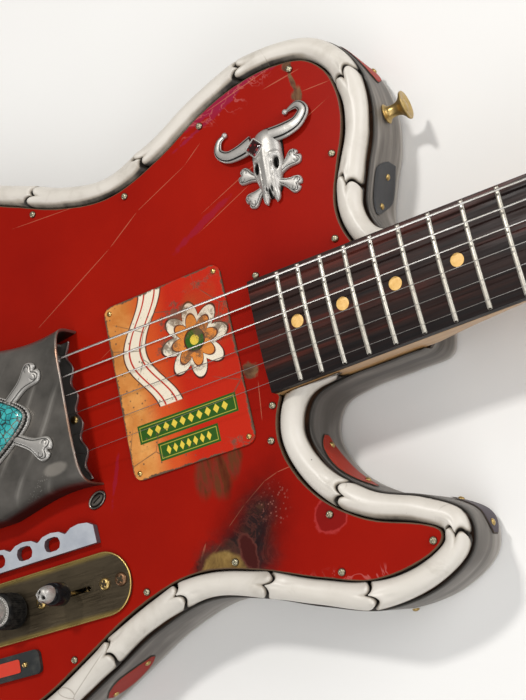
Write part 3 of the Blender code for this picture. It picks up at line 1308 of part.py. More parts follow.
def build_strings():
    """Six strings, each one unbroken tube that ends in turns round its post."""
    least = 1.0
    for i in range(6):
        straight, turns, radius = string_route(i)
        name = "string_%d" % (6 - i)
        curve = bpy.data.curves.new(name, "CURVE")
        curve.dimensions = "3D"
        curve.bevel_depth = radius
        curve.bevel_resolution = 1
        curve.use_fill_caps = True
        points = straight + turns
        line = curve.splines.new("POLY")
        line.points.add(len(points) - 1)
        for spot, (x, y, z) in zip(line.points, points):
            spot.co = (x, y, z, 1.0)
        curve.materials.append(finish(name, STEEL))
        string = bpy.data.objects.new(name, curve)
        bpy.context.scene.collection.objects.link(string)
        turns = np.array(turns)
        apart = np.linalg.norm(turns[:, None] - turns[None, :], axis=2)
        rows = np.arange(len(turns))
        distant = np.abs(rows[:, None] - rows[None, :]) > WIND_STEPS // 2
        least = min(least, float(apart[distant].min() - 2 * radius))
    print("least gap between turns of a string: %.2f mm" % (least / MM))


def main():
    clear_scene()
    build_body()
    build_shell()
    build_bones()
    build_trim()
    build_skull()
    build_bridge()
    build_badge()
    build_control_plate()
    build_lever()
    build_knobs()
    build_jack_and_buttons()
    build_neck()
    build_board()
    build_tuners()
    build_strings()


main()
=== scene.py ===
"""Looks of a bolt-neck electric guitar: aged paint, carved bone edging, tin, silver and wood."""
import math

import bpy
import numpy as np
from mathutils import Matrix, Vector
from mathutils.geometry import tessellate_polygon


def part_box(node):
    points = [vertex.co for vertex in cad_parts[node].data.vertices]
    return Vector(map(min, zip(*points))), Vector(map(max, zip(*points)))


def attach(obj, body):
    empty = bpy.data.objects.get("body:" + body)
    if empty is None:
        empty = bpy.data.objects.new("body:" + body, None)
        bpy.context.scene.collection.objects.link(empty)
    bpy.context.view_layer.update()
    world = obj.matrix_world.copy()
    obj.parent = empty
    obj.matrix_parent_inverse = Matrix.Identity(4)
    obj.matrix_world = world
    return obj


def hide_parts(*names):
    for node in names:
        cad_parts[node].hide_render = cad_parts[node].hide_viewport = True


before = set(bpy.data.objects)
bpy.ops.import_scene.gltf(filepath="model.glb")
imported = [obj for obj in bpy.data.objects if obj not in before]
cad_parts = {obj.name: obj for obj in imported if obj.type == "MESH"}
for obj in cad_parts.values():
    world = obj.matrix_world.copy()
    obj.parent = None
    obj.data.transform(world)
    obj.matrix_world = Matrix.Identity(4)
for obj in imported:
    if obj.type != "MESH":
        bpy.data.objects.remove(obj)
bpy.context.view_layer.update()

MM = 0.001
ROOT = "guitar"

# Levels and sizes of the part. The origin is on the flat back under the saddle line, +X points to the nut and
# +Y to the thick strings. Places on the front are written in mm, and lengths that end in * MM are in metres.
TOP = 44.5 * MM
PANEL_UNDER = TOP - 1.6 * MM
SEAT = 44.8 * MM
DECK = 66.1 * MM
SCALE = 647.7 * MM
HEEL_END = 176.0 * MM
HEEL_WIDTH = 56.6 * MM
NUT_WIDTH = 42.9 * MM
BOARD_TOP = 54.4 * MM
BOARD_RADIUS = 241.0 * MM
FRETS = 21
DOT_FRETS = (3, 5, 7, 9, 12, 15, 17, 19, 21)
HEAD_FACE = 44.45 * MM
HEAD_BACK = 30.15 * MM

# Control plate, its knobs, switch and screws, and the side jack
PLATE_X, PLATE_Y = -6.0, -91.0
PLATE_LENGTH, PLATE_WIDTH = 160.0, 32.0
PLATE_TOP = SEAT + 1.4 * MM
KNOB_X = {"volume_knob": -1.0, "tone_knob": -42.0}
KNOB_FOOT = 47.5 * MM
SWITCH_X = 37.4
SWITCH_SCREW_REACH = 20.65
PLATE_SCREW_X = (68.2, -80.2)
JACK_X, JACK_LEVEL, JACK_HOLE = -46.0, 20.0, 10.75

# Bridge tray and its cover, the stone and its bones
TRAY_FRONT, TRAY_HALF, TRAY_SCALLOPS, TRAY_SCALLOP = 62.0, 37.4, 5, 1.6
COVER_TAIL, COVER_FULL, COVER_WAIST, COVER_MOUTH = 36.0, -8.0, 10.0, 67.0
COVER_HALF, COVER_MOUTH_IN, COVER_PINCH, COVER_HEIGHT, COVER_WALL = 46.5, 4.5, 3.0, 21.0, 1.25
STONE_POINT, STONE_SIZE, STONE_BLUNT = 42.7, 20.6, 0.23
COVER_BONE_START = (17.9, 0)
COVER_BONES = [(50.6, 21), (50.8, -19.8), (-15, 20.4), (-15, -20.4)]
HORNS = [[(193.5, 97, 4.4), (185.5, 95.6, 3.8), (178.0, 96.2, 3.1), (173.4, 100.6, 2.3), (174.6, 106, 1.6),
          (178.4, 108.6, .9)],
         [(203.5, 97.3, 3.8), (212, 96.6, 4.0), (219.5, 98.2, 3.4), (223.6, 102.8, 2.9), (221, 107.0, 2.1),
          (213.4, 106.4, .6)]]
CROSS_BONES = [((183.8, 83.6), (210.6, 68.6)), ((185.2, 69.4), (213, 82.6))]

# Printed tin: its middle, half length and half width
TIN_X, TIN_HALF_LENGTH, TIN_HALF_WIDTH = 123.0, 36.1, 46.6
TIN_NAILS = [(x, y) for x in (90.5, 155.5) for y in (-43.0, 43.0)]

# Bones round the edge: line, size, joints and shares of the way round
BONE_LEVEL = 40.5 * MM
BONE_RADIUS = 6.7 * MM
BONE_INSET = 7.0 * MM
BONE_START = 24.0 * MM
BONE_STOP = 61.0 * MM
JOINT_GAP = 0.9 * MM
LOBE = 3.6 * MM
HORN_TIP = (243, -112)
HORN_SLIM = 0.9 * MM
PANEL_GAP = 0.35 * MM
PANEL_INSET = BONE_INSET + math.sqrt(BONE_RADIUS ** 2 - (PANEL_UNDER - BONE_LEVEL) ** 2) + PANEL_GAP
BONE_SHARES = [40.5, 54.5, 68, 70.5, 75, 88, 104, 118, 122, 110, 84.3, 49.5, 50, 53, 53, 60.5, 85.5]

# Body outline, and the nails of the top
OUTLINE = [
    (255.2, 0), (254.8, 19), (250, 29), (243, 36), (240, 48), (245.5, 65), (252.5, 82),
    (255.6, 101), (251.5, 123), (237, 140), (213, 147), (187, 146), (160, 138.5), (133, 126.5),
    (103, 118.8), (74, 125), (45, 138), (13, 151.5), (-24, 160.8), (-62, 161), (-97, 150),
    (-124, 126), (-140, 88), (-145.5, 30), (-145.5, -30), (-140, -88), (-124, -126),
    (-97, -150), (-62, -161), (-24, -160.3), (13, -149.7), (45, -135), (76, -120.5),
    (110, -112.2), (140, -118), (170, -129), (200, -137.3), (230, -133.3), (248, -121),
    (249.5, -105), (233, -93), (209, -83.5), (191, -68), (183.5, -48), (190, -34),
    (207, -29.5), (235, -28.5), (250.5, -27), (254.8, -18),
]
NAILS = [
    (231.8, 76.2), (222.8, 34.9), (177.6, 32.6), (220.7, 127.4), (165.1, 120.2), (113.0, 101.7),
    (53.0, 115.2), (2, 137), (-50, 143.0), (-92, 131), (-117, 98), (-126, 50), (-127.5, 0),
    (-126, -50), (-117, -98), (-92, -131), (-50, -143.0), (-12.3, -140), (30.4, -123.2),
    (80.9, -100.6), (133.4, -98.7), (186.8, -116.6), (233.4, -114.0), (187.4, -89.9),
    (166.2, -48.3), (171.0, -32.1),
]

# Patches and tacks of the side band: distance along the edge, then lower and upper level or one level
SIDE_PATCHES = {
    "patch_dark": [(49.5, 26, 29), (55, 15, 29.5), (61, 7, 30), (72, 7, 30), (76, 8, 25), (79, 9, 18)],
    "patch_shoulder": [(121, 18, 21), (128, 7, 30), (136, 4, 34), (143, 4, 34)],
    "patch_cutaway": [(1269, 20, 25), (1278, 13, 30.5), (1287, 11, 34), (1300, 13, 31), (1309, 18, 23)],
    "patch_horn": [(1207, 8, 14), (1214, 3.5, 19), (1226, 3.2, 16), (1238, 3.2, 8)],
    "patch_bout": [(964, 14, 19), (972, 8, 25), (980, 6, 27), (992, 9, 22), (999, 14, 18)],
}
PATCH_RISE = 0.75
SIDE_TACKS = [(71.2, 17), (55.4, 21), (133.8, 8.5), (1303.1, 19), (1277.3, 17), (1233, 6.5),
              (1212.2, 12.5), (993.6, 15.5), (968.1, 15.5), (1148.7, 4.5)]


# Marks of the paint on the front: middle, half sizes, turn (and strength); scratches run from end to end
WINE_STREAKS = [(179.0, 127.5, 31.0, 3.0, 0.25, 0.95), (166.0, 119.5, 22.0, 1.3, 0.33, 0.7),
                (214.0, 134.0, 12.0, 2.2, 0.1, 0.7), (157.0, 70.5, 22.0, 2.0, 0.4, 0.42),
                (75.0, -40.0, 14.0, 1.2, 1.2, 0.4), (196.0, -128.0, 27.0, 3.0, -0.15, 0.8),
                (222.0, -124.0, 12.0, 2.0, 0.3, 0.6), (96.0, -18.0, 13.0, 1.6, 0.9, 0.4)]
RUBBED_LOBES = [(126.3, -54.0, 6.6, 12.5), (135.2, -56.5, 6.8, 12.5), (144.0, -51.0, 5.0, 10.5)]
BARE_PLACES = [
    (221.5, 112.7, 4.6, 3.0, 1.3), (220.6, 121.0, 1.5, 6.5, 0.1), (219.6, 129.6, 3.0, 2.4, 0.2),
    (163.0, -11.4, 4.2, 4.4, 0.2), (184.0, 133.2, 16.0, 1.1, 0.14),
]
SCRATCHES = [(154.4, 74.6, 241.8, 106.2, 0.24), (170.5, 126.1, 212.2, 133.4, 0.3),
             (163.3, 111.5, 151.4, 103.4, 0.2), (152.1, 103.7, 118.1, 90.8, 0.2),
             (118.9, 91.1, 97.5, 77.9, 0.28), (98.2, 78.2, 43.1, 51.7, 0.26), (152.4, 65.9, 184.3, 78.5, 0.2),
             (203.8, 123.6, 226.5, 125.5, 0.3), (223.4, 113.5, 240.1, 112.4, 0.25),
             (78.7, 21.8, 121.4, 40.1, 0.2), (166.2, -17.7, 163.7, -37.1, 0.24),
             (164.4, -117.1, 211.2, -135.1, 0.2), (35.8, 112.8, 84.4, 108.4, 0.18),
             (173.9, -62.7, 164.9, -63.5, 0.24), (165.7, -63.4, 157.9, -65.7, 0.26),
             (158.4, -65.4, 144.7, -73.6, 0.26), (145.2, -73.2, 134.2, -81.3, 0.28),
             (119.3, -86.0, 114.3, -94.3, 0.55), (126.9, -88.7, 107.9, -102.1, 0.45)]


# Mesh helpers

def grid_faces(rows, columns, start=0, wrap_rows=False, wrap_columns=False):
    """Quads of a grid of vertices, numbered row by row."""
    faces = []
    for i in range(rows if wrap_rows else rows - 1):
        for j in range(columns if wrap_columns else columns - 1):
            a = start + i * columns + j
            b = start + i * columns + (j + 1) % columns
            c = start + ((i + 1) % rows) * columns + (j + 1) % columns
            d = start + ((i + 1) % rows) * columns + j
            faces.append((a, b, c, d))
    return faces


class Shape:
    """Surfaces gathered for one mesh, each a numpy grid of points."""

    def __init__(self):
        self.points = []
        self.faces = []
        self.values = []
        self.count = 0

    def add(self, grid, wrap_rows=False, wrap_columns=True, caps=True, value=None):
        """Adds a grid (rows, columns, 3); caps close the first and last row; value is one number a point."""
        grid = np.asarray(grid, float)
        rows, columns = grid.shape[:2]
        self.faces += grid_faces(rows, columns, self.count, wrap_rows, wrap_columns)
        if caps and wrap_columns and not wrap_rows:
            self.faces.append(tuple(self.count + j for j in range(columns))[::-1])
            self.faces.append(tuple(self.count + (rows - 1) * columns + j for j in range(columns)))
        self.points.append(grid.reshape(-1, 3))
        level = np.zeros(rows * columns) if value is None else np.broadcast_to(value, (rows, columns))
        self.values.append(np.asarray(level, float).reshape(-1))
        self.count += rows * columns
        return self

    def fill(self, loops):
        """Adds a flat face bounded by the first loop of points, with the other loops as its holes."""
        points = np.concatenate(loops)
        triangles = tessellate_polygon([[Vector(p) for p in loop] for loop in loops])
        for a, b, c in triangles:
            side = np.cross(points[b] - points[a], points[c] - points[a])[2]
            order = (a, b, c) if side > 0 else (c, b, a)
            self.faces.append(tuple(self.count + k for k in order))
        self.points.append(points)
        self.values.append(np.zeros(len(points)))
        self.count += len(points)
        return self

    def piece(self, name, material, body=ROOT, replaces=(), angle=40):
        """Makes the mesh object, which rides on a body and takes the place of CAD nodes."""
        mesh = bpy.data.meshes.new(name)
        points = np.concatenate(self.points)
        mesh.from_pydata(points.tolist(), [], self.faces)
        layer = mesh.attributes.new("wear_and_shade", "FLOAT", "POINT")
        layer.data.foreach_set("value", np.concatenate(self.values).astype(np.float32))
        mesh.validate()
        mesh.materials.append(material)
        mesh.shade_smooth()
        mesh.set_sharp_from_angle(angle=math.radians(angle))
        item = bpy.data.objects.new(name, mesh)
        bpy.context.scene.collection.objects.link(item)
        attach(item, body)
        if replaces:
            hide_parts(*replaces)
        return item


def mm(*rows):
    """Rows of lengths in mm, turned to metres."""
    return [tuple(v * MM for v in row) for row in rows]


def lathe(profile, sides=32, place=None):
    """Grid of a profile of (radius, height) pairs turned round +Z, then placed by a matrix."""
    angles = np.linspace(0, 2 * math.pi, sides, endpoint=False)
    rows = []
    for radius, height in profile:
        radius = max(radius, 1e-6)
        rows.append(np.stack([radius * np.cos(angles), radius * np.sin(angles),
                              np.full(sides, height)], 1))
    return placed(np.array(rows), place)


def placed(grid, place):
    """Grid moved by a matrix, or as it is without one."""
    if place is None:
        return grid
    matrix = np.array(place)
    return grid @ matrix[:3, :3].T + matrix[:3, 3]


def shift(x, y, z):
    """Matrix that moves by three lengths."""
    return Matrix.Translation((x, y, z))


def aimed(spot, direction):
    """Matrix that moves the origin to a spot and turns +Z to a direction."""
    turn = Vector((0, 0, 1)).rotation_difference(Vector(direction)).to_matrix().to_4x4()
    return Matrix.Translation(spot) @ turn


def spline(points, steps, closed=False):
    """Centripetal curve through the points, in any number of dimensions."""
    points = np.array(points, float)
    count = len(points)
    if not closed:
        points = np.vstack([2 * points[0] - points[1], points, 2 * points[-1] - points[-2]])
    out = []
    for i in range(count if closed else count - 1):
        p = points[[(i + j) % count for j in (-1, 0, 1, 2)]] if closed else points[i:i + 4]
        gaps = np.sqrt(np.linalg.norm(np.diff(p, axis=0), axis=1)) + 1e-9
        knots = np.concatenate([[0], np.cumsum(gaps)])
        for t in np.linspace(knots[1], knots[2], steps, endpoint=False):
            a = [((knots[k + 1] - t) * p[k] + (t - knots[k]) * p[k + 1]) / (knots[k + 1] - knots[k])
                 for k in range(3)]
            b = [((knots[k + 2] - t) * a[k] + (t - knots[k]) * a[k + 1]) / (knots[k + 2] - knots[k])
                 for k in range(2)]
            out.append(((knots[2] - t) * b[0] + (t - knots[1]) * b[1]) / (knots[2] - knots[1]))
    if not closed:
        out.append(points[-2])
    return np.array(out)


def tube(path, radius, sides=12, flat=1.0, up=(0, 0, 1), closed=False):
    """Grid of a tube along a path; radius may vary along it, and flat squeezes it towards up."""
    path = np.array(path, float)
    radius = np.broadcast_to(radius, len(path))
    if closed:
        lead = np.roll(path, -1, 0) - np.roll(path, 1, 0)
    else:
        lead = np.gradient(path, axis=0)
    lead /= np.linalg.norm(lead, axis=1)[:, None] + 1e-12
    side = np.cross(np.array(up, float), lead)
    side /= np.linalg.norm(side, axis=1)[:, None] + 1e-12
    top = np.cross(lead, side)
    angles = np.linspace(0, 2 * math.pi, sides, endpoint=False)
    return (path[:, None] + radius[:, None, None] * (side[:, None] * np.cos(angles)[None, :, None]
            + flat * top[:, None] * np.sin(angles)[None, :, None]))


def dome(x, y, z, radius, height, sides=16):
    """Grid of a low round head that stands on a level, steep at its rim."""
    steps = np.linspace(0, math.pi / 2, 6)
    profile = [(radius, -0.3 * height)] + [(radius * math.cos(a) ** 0.7, height * math.sin(a)) for a in steps]
    return lathe(profile, sides, shift(x, y, z))


def ball(place, size, sides=20, rings=12):
    """Grid of an ellipsoid of three half sizes, placed by a matrix."""
    polar = np.linspace(0.02, math.pi - 0.02, rings)
    turn = np.linspace(0, 2 * math.pi, sides, endpoint=False)
    grid = np.stack([np.outer(np.sin(polar), np.cos(turn)), np.outer(np.sin(polar), np.sin(turn)),
                     np.outer(np.cos(polar), np.ones(sides))], 2)
    return placed(grid * np.array(size), place)


def pillow(outline, base, levels):
    """Grid of a plate with soft edges: copies of an outline, each set in and raised by a pair."""
    outline = np.array(outline, float)
    lead = np.roll(outline, -1, 0) - np.roll(outline, 1, 0)
    lead /= np.linalg.norm(lead, axis=1)[:, None] + 1e-12
    out = np.stack([lead[:, 1], -lead[:, 0]], 1)
    rows = []
    for inset, rise in levels:
        flat = outline - out * inset
        rows.append(np.column_stack([flat, np.full(len(flat), base + rise)]))
    return np.array(rows)


def outward(curve):
    """Unit normals that point out of a closed curve run anticlockwise."""
    lead = np.roll(curve, -1, 0) - np.roll(curve, 1, 0)
    lead /= np.linalg.norm(lead, axis=1)[:, None]
    return np.stack([lead[:, 1], -lead[:, 0]], 1)


def stadium(cx, cy, length, width, steps=16):
    """Outline of a bar with round ends, anticlockwise, its length along X."""
    points = []
    reach = (length - width) / 2
    for side in (1, -1):
        for k in range(steps + 1):
            angle = math.pi * (k / steps - 0.5) + (0 if side > 0 else math.pi)
            points.append((cx + side * reach + width / 2 * math.cos(angle), cy + width / 2 * math.sin(angle)))
    return np.array(points)


def ellipse(x, y, a, b, turn):
    """Ellipse of two half sizes round a place, turned by an angle."""
    angles = np.linspace(0, 2 * math.pi, 40, endpoint=False)
    c, s = math.cos(turn), math.sin(turn)
    return np.column_stack([x + a * c * np.cos(angles) - b * s * np.sin(angles),
                            y + a * s * np.cos(angles) + b * c * np.sin(angles)])


SIDE = spline(np.array(OUTLINE) * MM, 14, closed=True)
SIDE_OUT = outward(SIDE)


def neck_half(x):
    """Half width of the neck at a place along it."""
    return (HEEL_WIDTH + (NUT_WIDTH - HEEL_WIDTH) * (x - HEEL_END) / (SCALE - HEEL_END)) / 2


def walker(curve, normals):
    """Function from a distance along a closed curve to its points and unit normals."""
    length = np.concatenate([[0], np.cumsum(np.linalg.norm(np.roll(curve, -1, 0) - curve, axis=1))])
    points = np.vstack([curve, curve[:1]])
    out = np.vstack([normals, normals[:1]])

    def at(distance):
        """Place and unit normal at a distance."""
        spot = np.stack([np.interp(distance, length, points[:, k]) for k in (0, 1)], -1)
        normal = np.stack([np.interp(distance, length, out[:, k]) for k in (0, 1)], -1)
        return spot, normal / np.linalg.norm(normal, axis=-1, keepdims=True)
    return at


# Material helpers

class Wire:
    """Output of a node. A plain sign between wires, or a wire and a number, adds the Math node of that
    sum."""

    def __init__(self, finish, socket):
        self.finish = finish
        self.socket = socket

    def __add__(self, other):
        return self.finish.sum("ADD", self, other)

    def __radd__(self, other):
        return self.finish.sum("ADD", other, self)

    def __sub__(self, other):
        return self.finish.sum("SUBTRACT", self, other)

    def __rsub__(self, other):
        return self.finish.sum("SUBTRACT", other, self)

    def __mul__(self, other):
        return self.finish.sum("MULTIPLY", self, other)

    def __truediv__(self, other):
        return self.finish.sum("DIVIDE", self, other)

    def __abs__(self):
        return self.finish.sum("ABSOLUTE", self)


class Finish:
    """One procedural material: each method adds a node and gives back its output as a wire."""

    def __init__(self, name, colour=(0.5, 0.5, 0.5), rough=0.5, metal=0.0, **sockets):
        self.material = bpy.data.materials.new(name)
        self.material.use_nodes = True
        self.tree = self.material.node_tree
        self.shader = self.tree.nodes["Principled BSDF"]
        self.shader.inputs["Base Color"].default_value = (*colour, 1)
        self.shader.inputs["Roughness"].default_value = rough
        self.shader.inputs["Metallic"].default_value = metal
        for key, value in sockets.items():
            self.shader.inputs[key.replace("_", " ")].default_value = value
        self.place = Wire(self, self.node("ShaderNodeTexCoord").outputs["Object"])

    def node(self, kind, **settings):
        """New node of a kind, with its settings."""
        item = self.tree.nodes.new(kind)
        for key, value in settings.items():
            setattr(item, key, value)
        return item

    def put(self, socket, value):
        """Links a wire to a socket, or sets the socket to a number or a colour."""
        if isinstance(value, Wire):
            self.tree.links.new(value.socket, socket)
        elif isinstance(value, tuple) and len(value) == 3 and socket.type == "RGBA":
            socket.default_value = (*value, 1)
        else:
            socket.default_value = value

    def stretch(self, x, y, z, turn=0.0):
        """Object coordinates scaled along each axis and turned round Z."""
        item = self.node("ShaderNodeMapping")
        self.put(item.inputs["Vector"], self.place)
        item.inputs["Scale"].default_value = (x, y, z)
        item.inputs["Rotation"].default_value = (0, 0, turn)
        return Wire(self, item.outputs["Vector"])

    def noise(self, scale, detail=4.0, rough=0.55, distort=0.0, vector=None):
        """Cloudy noise from nought to one; the scale is in features a metre."""
        item = self.node("ShaderNodeTexNoise")
        self.put(item.inputs["Vector"], vector or self.place)
        item.inputs["Scale"].default_value = scale
        item.inputs["Detail"].default_value = detail
        item.inputs["Roughness"].default_value = rough
        item.inputs["Distortion"].default_value = distort
        return Wire(self, item.outputs["Fac"])

    def cells(self, scale, feature="F1", vector=None):
        """Distance to the nearest of scattered points, or to the edge between their cells."""
        item = self.node("ShaderNodeTexVoronoi", feature=feature)
        self.put(item.inputs["Vector"], vector or self.place)
        item.inputs["Scale"].default_value = scale
        return Wire(self, item.outputs["Distance"])

    def waves(self, scale, distort=0.0, detail=2.0, direction="X", vector=None, reach=1.0):
        """Soft bands across a direction, bent by distortion."""
        item = self.node("ShaderNodeTexWave", bands_direction=direction)
        self.put(item.inputs["Vector"], vector or self.place)
        item.inputs["Scale"].default_value = scale
        item.inputs["Distortion"].default_value = distort
        item.inputs["Detail"].default_value = detail
        item.inputs["Detail Scale"].default_value = reach
        return Wire(self, item.outputs["Fac"])

    def ramp(self, value, stops):
        """Colour or grey ramp; stops are pairs of a place and a colour or a grey."""
        item = self.node("ShaderNodeValToRGB")
        self.put(item.inputs["Fac"], value)
        bar = item.color_ramp.elements
        while len(bar) < len(stops):
            bar.new(0.5)
        for stop, (spot, shade) in zip(bar, stops):
            stop.position = spot
            stop.color = (*shade, 1) if isinstance(shade, tuple) else (shade, shade, shade, 1)
        return Wire(self, item.outputs["Color"])

    def sum(self, how, a, b=0.0, clamp=False):
        """One step of arithmetic, named as the Math node names it."""
        item = self.node("ShaderNodeMath", operation=how, use_clamp=clamp)
        self.put(item.inputs[0], a)
        self.put(item.inputs[1], b)
        return Wire(self, item.outputs[0])

    def most(self, *wires):
        """The greatest of some wires, taken two at a time."""
        found = wires[0]
        for wire in wires[1:]:
            found = self.sum("MAXIMUM", found, wire)
        return found

    def mix(self, share, a, b):
        """Colour a where the share is nought, b where it is one."""
        item = self.node("ShaderNodeMix", data_type="RGBA", blend_type="MIX")
        self.put(item.inputs[0], share)
        self.put(item.inputs[6], a)
        self.put(item.inputs[7], b)
        return Wire(self, item.outputs[2])

    def axis(self, which):
        """One object coordinate, X, Y or Z."""
        item = self.node("ShaderNodeSeparateXYZ")
        self.put(item.inputs[0], self.place)
        return Wire(self, item.outputs[which])

    def wear_and_shade(self):
        """The wear that a piece's points carry; on the edge bones and the painted top's edge it carries
        painted shade too.
        """
        return Wire(self, self.node("ShaderNodeAttribute", attribute_name="wear_and_shade").outputs["Fac"])

    def step(self, value, low, high):
        """Smooth step: nought below low, one above high."""
        item = self.node("ShaderNodeMapRange", interpolation_type="SMOOTHSTEP")
        self.put(item.inputs["Value"], value)
        item.inputs["From Min"].default_value = low
        item.inputs["From Max"].default_value = high
        return Wire(self, item.outputs["Result"])

    def below(self, value, low, high):
        """Smooth step down: one below low, nought above high."""
        return 1.0 - self.step(value, low, high)

    def jitter(self, reach, *grain):
        """Noise about nought, up to half the reach either way."""
        return (self.noise(*grain) - 0.5) * reach

    def spot(self, x, y, wide, tall, turn=0.0, ragged=0.5, scale=90.0, soft=0.14):
        """Ragged patch round a place of the front, one inside and nought outside."""
        c = math.cos(turn)
        s = math.sin(turn)
        dx = self.axis("X") - x * MM
        dy = self.axis("Y") - y * MM
        u = dx * (c / (wide * MM)) + dy * (s / (wide * MM))
        v = dy * (c / (tall * MM)) - dx * (s / (tall * MM))
        far = self.sum("SQRT", u * u + v * v)
        rough = self.jitter(2.4 * ragged, scale, 5.0, 0.65)
        return self.step(1.0 - (far + rough), -0.4 * soft, soft)

    def line(self, x0, y0, x1, y1, wide):
        """Thin ragged scratch from one place of the front to another."""
        length = math.hypot(x1 - x0, y1 - y0)
        turn = math.atan2(y1 - y0, x1 - x0)
        return self.spot((x0 + x1) / 2, (y0 + y1) / 2, length / 2, wide, turn, 0.4, 130.0)

    def bump(self, height, strength=0.3, distance=0.0006):
        """Bumps of a height, in metres at full strength."""
        item = self.node("ShaderNodeBump")
        item.inputs["Strength"].default_value = strength
        item.inputs["Distance"].default_value = distance
        self.put(item.inputs["Height"], height)
        self.put(self.shader.inputs["Normal"], Wire(self, item.outputs["Normal"]))
        return self

    def use(self, **sockets):
        """Wires the shader's sockets."""
        for key, value in sockets.items():
            self.put(self.shader.inputs[key.replace("_", " ")], value)
        return self


RED = (0.300, 0.0085, 0.0030)
DEEP_RED = (0.225, 0.0055, 0.0025)
WINE = (0.25, 0.012, 0.040)
TAN = (0.20, 0.125, 0.060)
SCORCH = (0.016, 0.010, 0.008)


def red_paint():
    """Old red paint: cloudy, streaked with wine, scratched to tan metal, scorched and blistered below."""
    f = Finish("old_red_paint", RED, 0.36, 0.0, Specular_IOR_Level=0.065)
    colour = f.mix(f.ramp(f.noise(9.0, 5.0, 0.6), [(0.35, 0.0), (0.75, 1.0)]), RED, DEEP_RED)
    for *place, share in WINE_STREAKS:
        colour = f.mix(f.spot(*place, 1.1, 120.0, 0.35) * share, colour, WINE)
    vein = abs(f.noise(34.0, 4.0, 0.6, 1.6) - 0.5)
    vein = f.below(vein, 0.003, 0.014)
    rim_zone = f.spot(178.0, 128.0, 44.0, 9.0, 0.2, 0.6, 60.0, 0.5)
    low_zone = f.spot(196.0, -122.0, 34.0, 6.0, -0.2, 0.6, 60.0, 0.5)
    colour = f.mix(vein * (f.most(rim_zone, low_zone) * 0.65), colour, (0.42, 0.1, 0.09))
    bare = f.most(*[f.spot(*place, 0.8, 130.0, 0.3) for place in BARE_PLACES])
    scratch = f.most(*[f.line(*ends) for ends in SCRATCHES]) * 0.55
    colour = f.mix(scratch, colour, (0.46, 0.15, 0.085))
    swirl = f.noise(48.0, 6.0, 0.65, 2.2)
    worn = f.mix(f.ramp(swirl, [(0.38, 0.0), (0.62, 1.0)]), TAN, (0.07, 0.042, 0.024))
    colour = f.mix(bare * 0.9, colour, worn)
    rubbed = f.most(*[f.spot(*place, -0.17, 0.34, 90.0, 0.42) for place in RUBBED_LOBES])
    drag = f.noise(160.0, 4.0, 0.6, 0.0, f.stretch(1.0, 0.22, 1.0, -0.17))
    olive = f.ramp(drag, [(0.36, (0.04, 0.016, 0.007)), (0.48, (0.07, 0.03, 0.011)),
                          (0.56, (0.15, 0.024, 0.014)), (0.66, (0.08, 0.036, 0.014))])
    colour = f.mix(rubbed * 0.82, colour, olive)
    halo = f.spot(146.0, -88.0, 38.0, 19.0, 0.95, 0.35, 40.0, 1.0)
    colour = f.mix(halo * 0.86, colour, (0.02, 0.003, 0.0022))
    scorch = f.most(f.spot(136.0, -97.0, 25.0, 17.5, 0.25, 0.5, 60.0, 0.7),
                    f.spot(148.0, -84.5, 20.0, 11.5, 0.95, 0.6, 60.0, 0.8) * 0.9)
    burnt = f.ramp(swirl, [(0.34, (0.006, 0.005, 0.006)), (0.46, (0.012, 0.01, 0.01)),
                           (0.5, (0.06, 0.02, 0.015)), (0.53, (0.01, 0.008, 0.008)),
                           (0.66, (0.045, 0.024, 0.014))])
    colour = f.mix(scorch * 0.96, colour, burnt)
    core = f.spot(125.5, -104.5, 14.0, 13.5, 0.1, 0.25, 60.0, 0.15)
    ring = f.spot(126.5, -103.0, 19.5, 18.0, 0.1, 0.5, 80.0, 0.25)
    soot = f.ramp(swirl, [(0.4, SCORCH), (0.55, (0.06, 0.022, 0.016)), (0.62, SCORCH)])
    colour = f.mix(ring * 0.9, colour, soot)
    gold = f.ramp(f.noise(85.0, 6.0, 0.65, 0.6), [(0.32, (0.095, 0.052, 0.018)), (0.52, (0.22, 0.135, 0.040)),
                                                  (0.72, (0.33, 0.22, 0.085))])
    colour = f.mix(core * 0.95, colour, gold)
    isle = f.spot(141.4, -95.9, 5.0, 9.4, 0.16, 0.85, 60.0, 0.2)
    colour = f.mix(isle * 0.8, colour, (0.13, 0.035, 0.026))
    isle = f.spot(141.4, -95.9, 4.3, 8.7, 0.16, 0.85, 60.0, 0.2)
    colour = f.mix(isle * 0.95, colour, (0.04, 0.006, 0.005))
    zone = f.spot(160.9, -78.2, 9.5, 11.3, 0.04, 0.6, 60.0, 0.5)
    dots = f.below(f.cells(560.0), 0.2, 0.32) * zone
    colour = f.mix(dots * 0.36, colour, (0.34, 0.13, 0.1))
    disc = f.spot(187.4, -89.9, 9.0, 9.0, 0.0, 0.45, 70.0, 0.1)
    inner = f.spot(187.4, -89.9, 7.9, 7.9, 0.0, 0.45, 70.0, 0.1)
    colour = f.mix(f.sum("SUBTRACT", disc, inner, True) * 0.5, colour, (0.42, 0.05, 0.05))
    colour = f.mix(inner * 0.45, colour, (0.13, 0.008, 0.01))
    # Dark brown at the rolled edge of the top: worn bare metal, and painted shade where the bones meet it.
    rim = f.wear_and_shade() + f.jitter(0.8, 150.0, 5.0, 0.7)
    rim = f.step(rim, 0.50, 0.85)
    colour = f.mix(rim, colour, f.mix(f.noise(90.0), (0.16, 0.10, 0.06), (0.045, 0.026, 0.016)))
    height = f.noise(45.0) * 0.25 + dots * 0.8 - f.most(bare, scratch) * 0.7
    dull = f.most(bare, scorch)
    f.use(Base_Color=colour, Roughness=f.ramp(dull, [(0.0, 0.30), (1.0, 0.62)]))
    return f.bump(height + swirl * dull * 0.8, 0.35, 0.0004).material


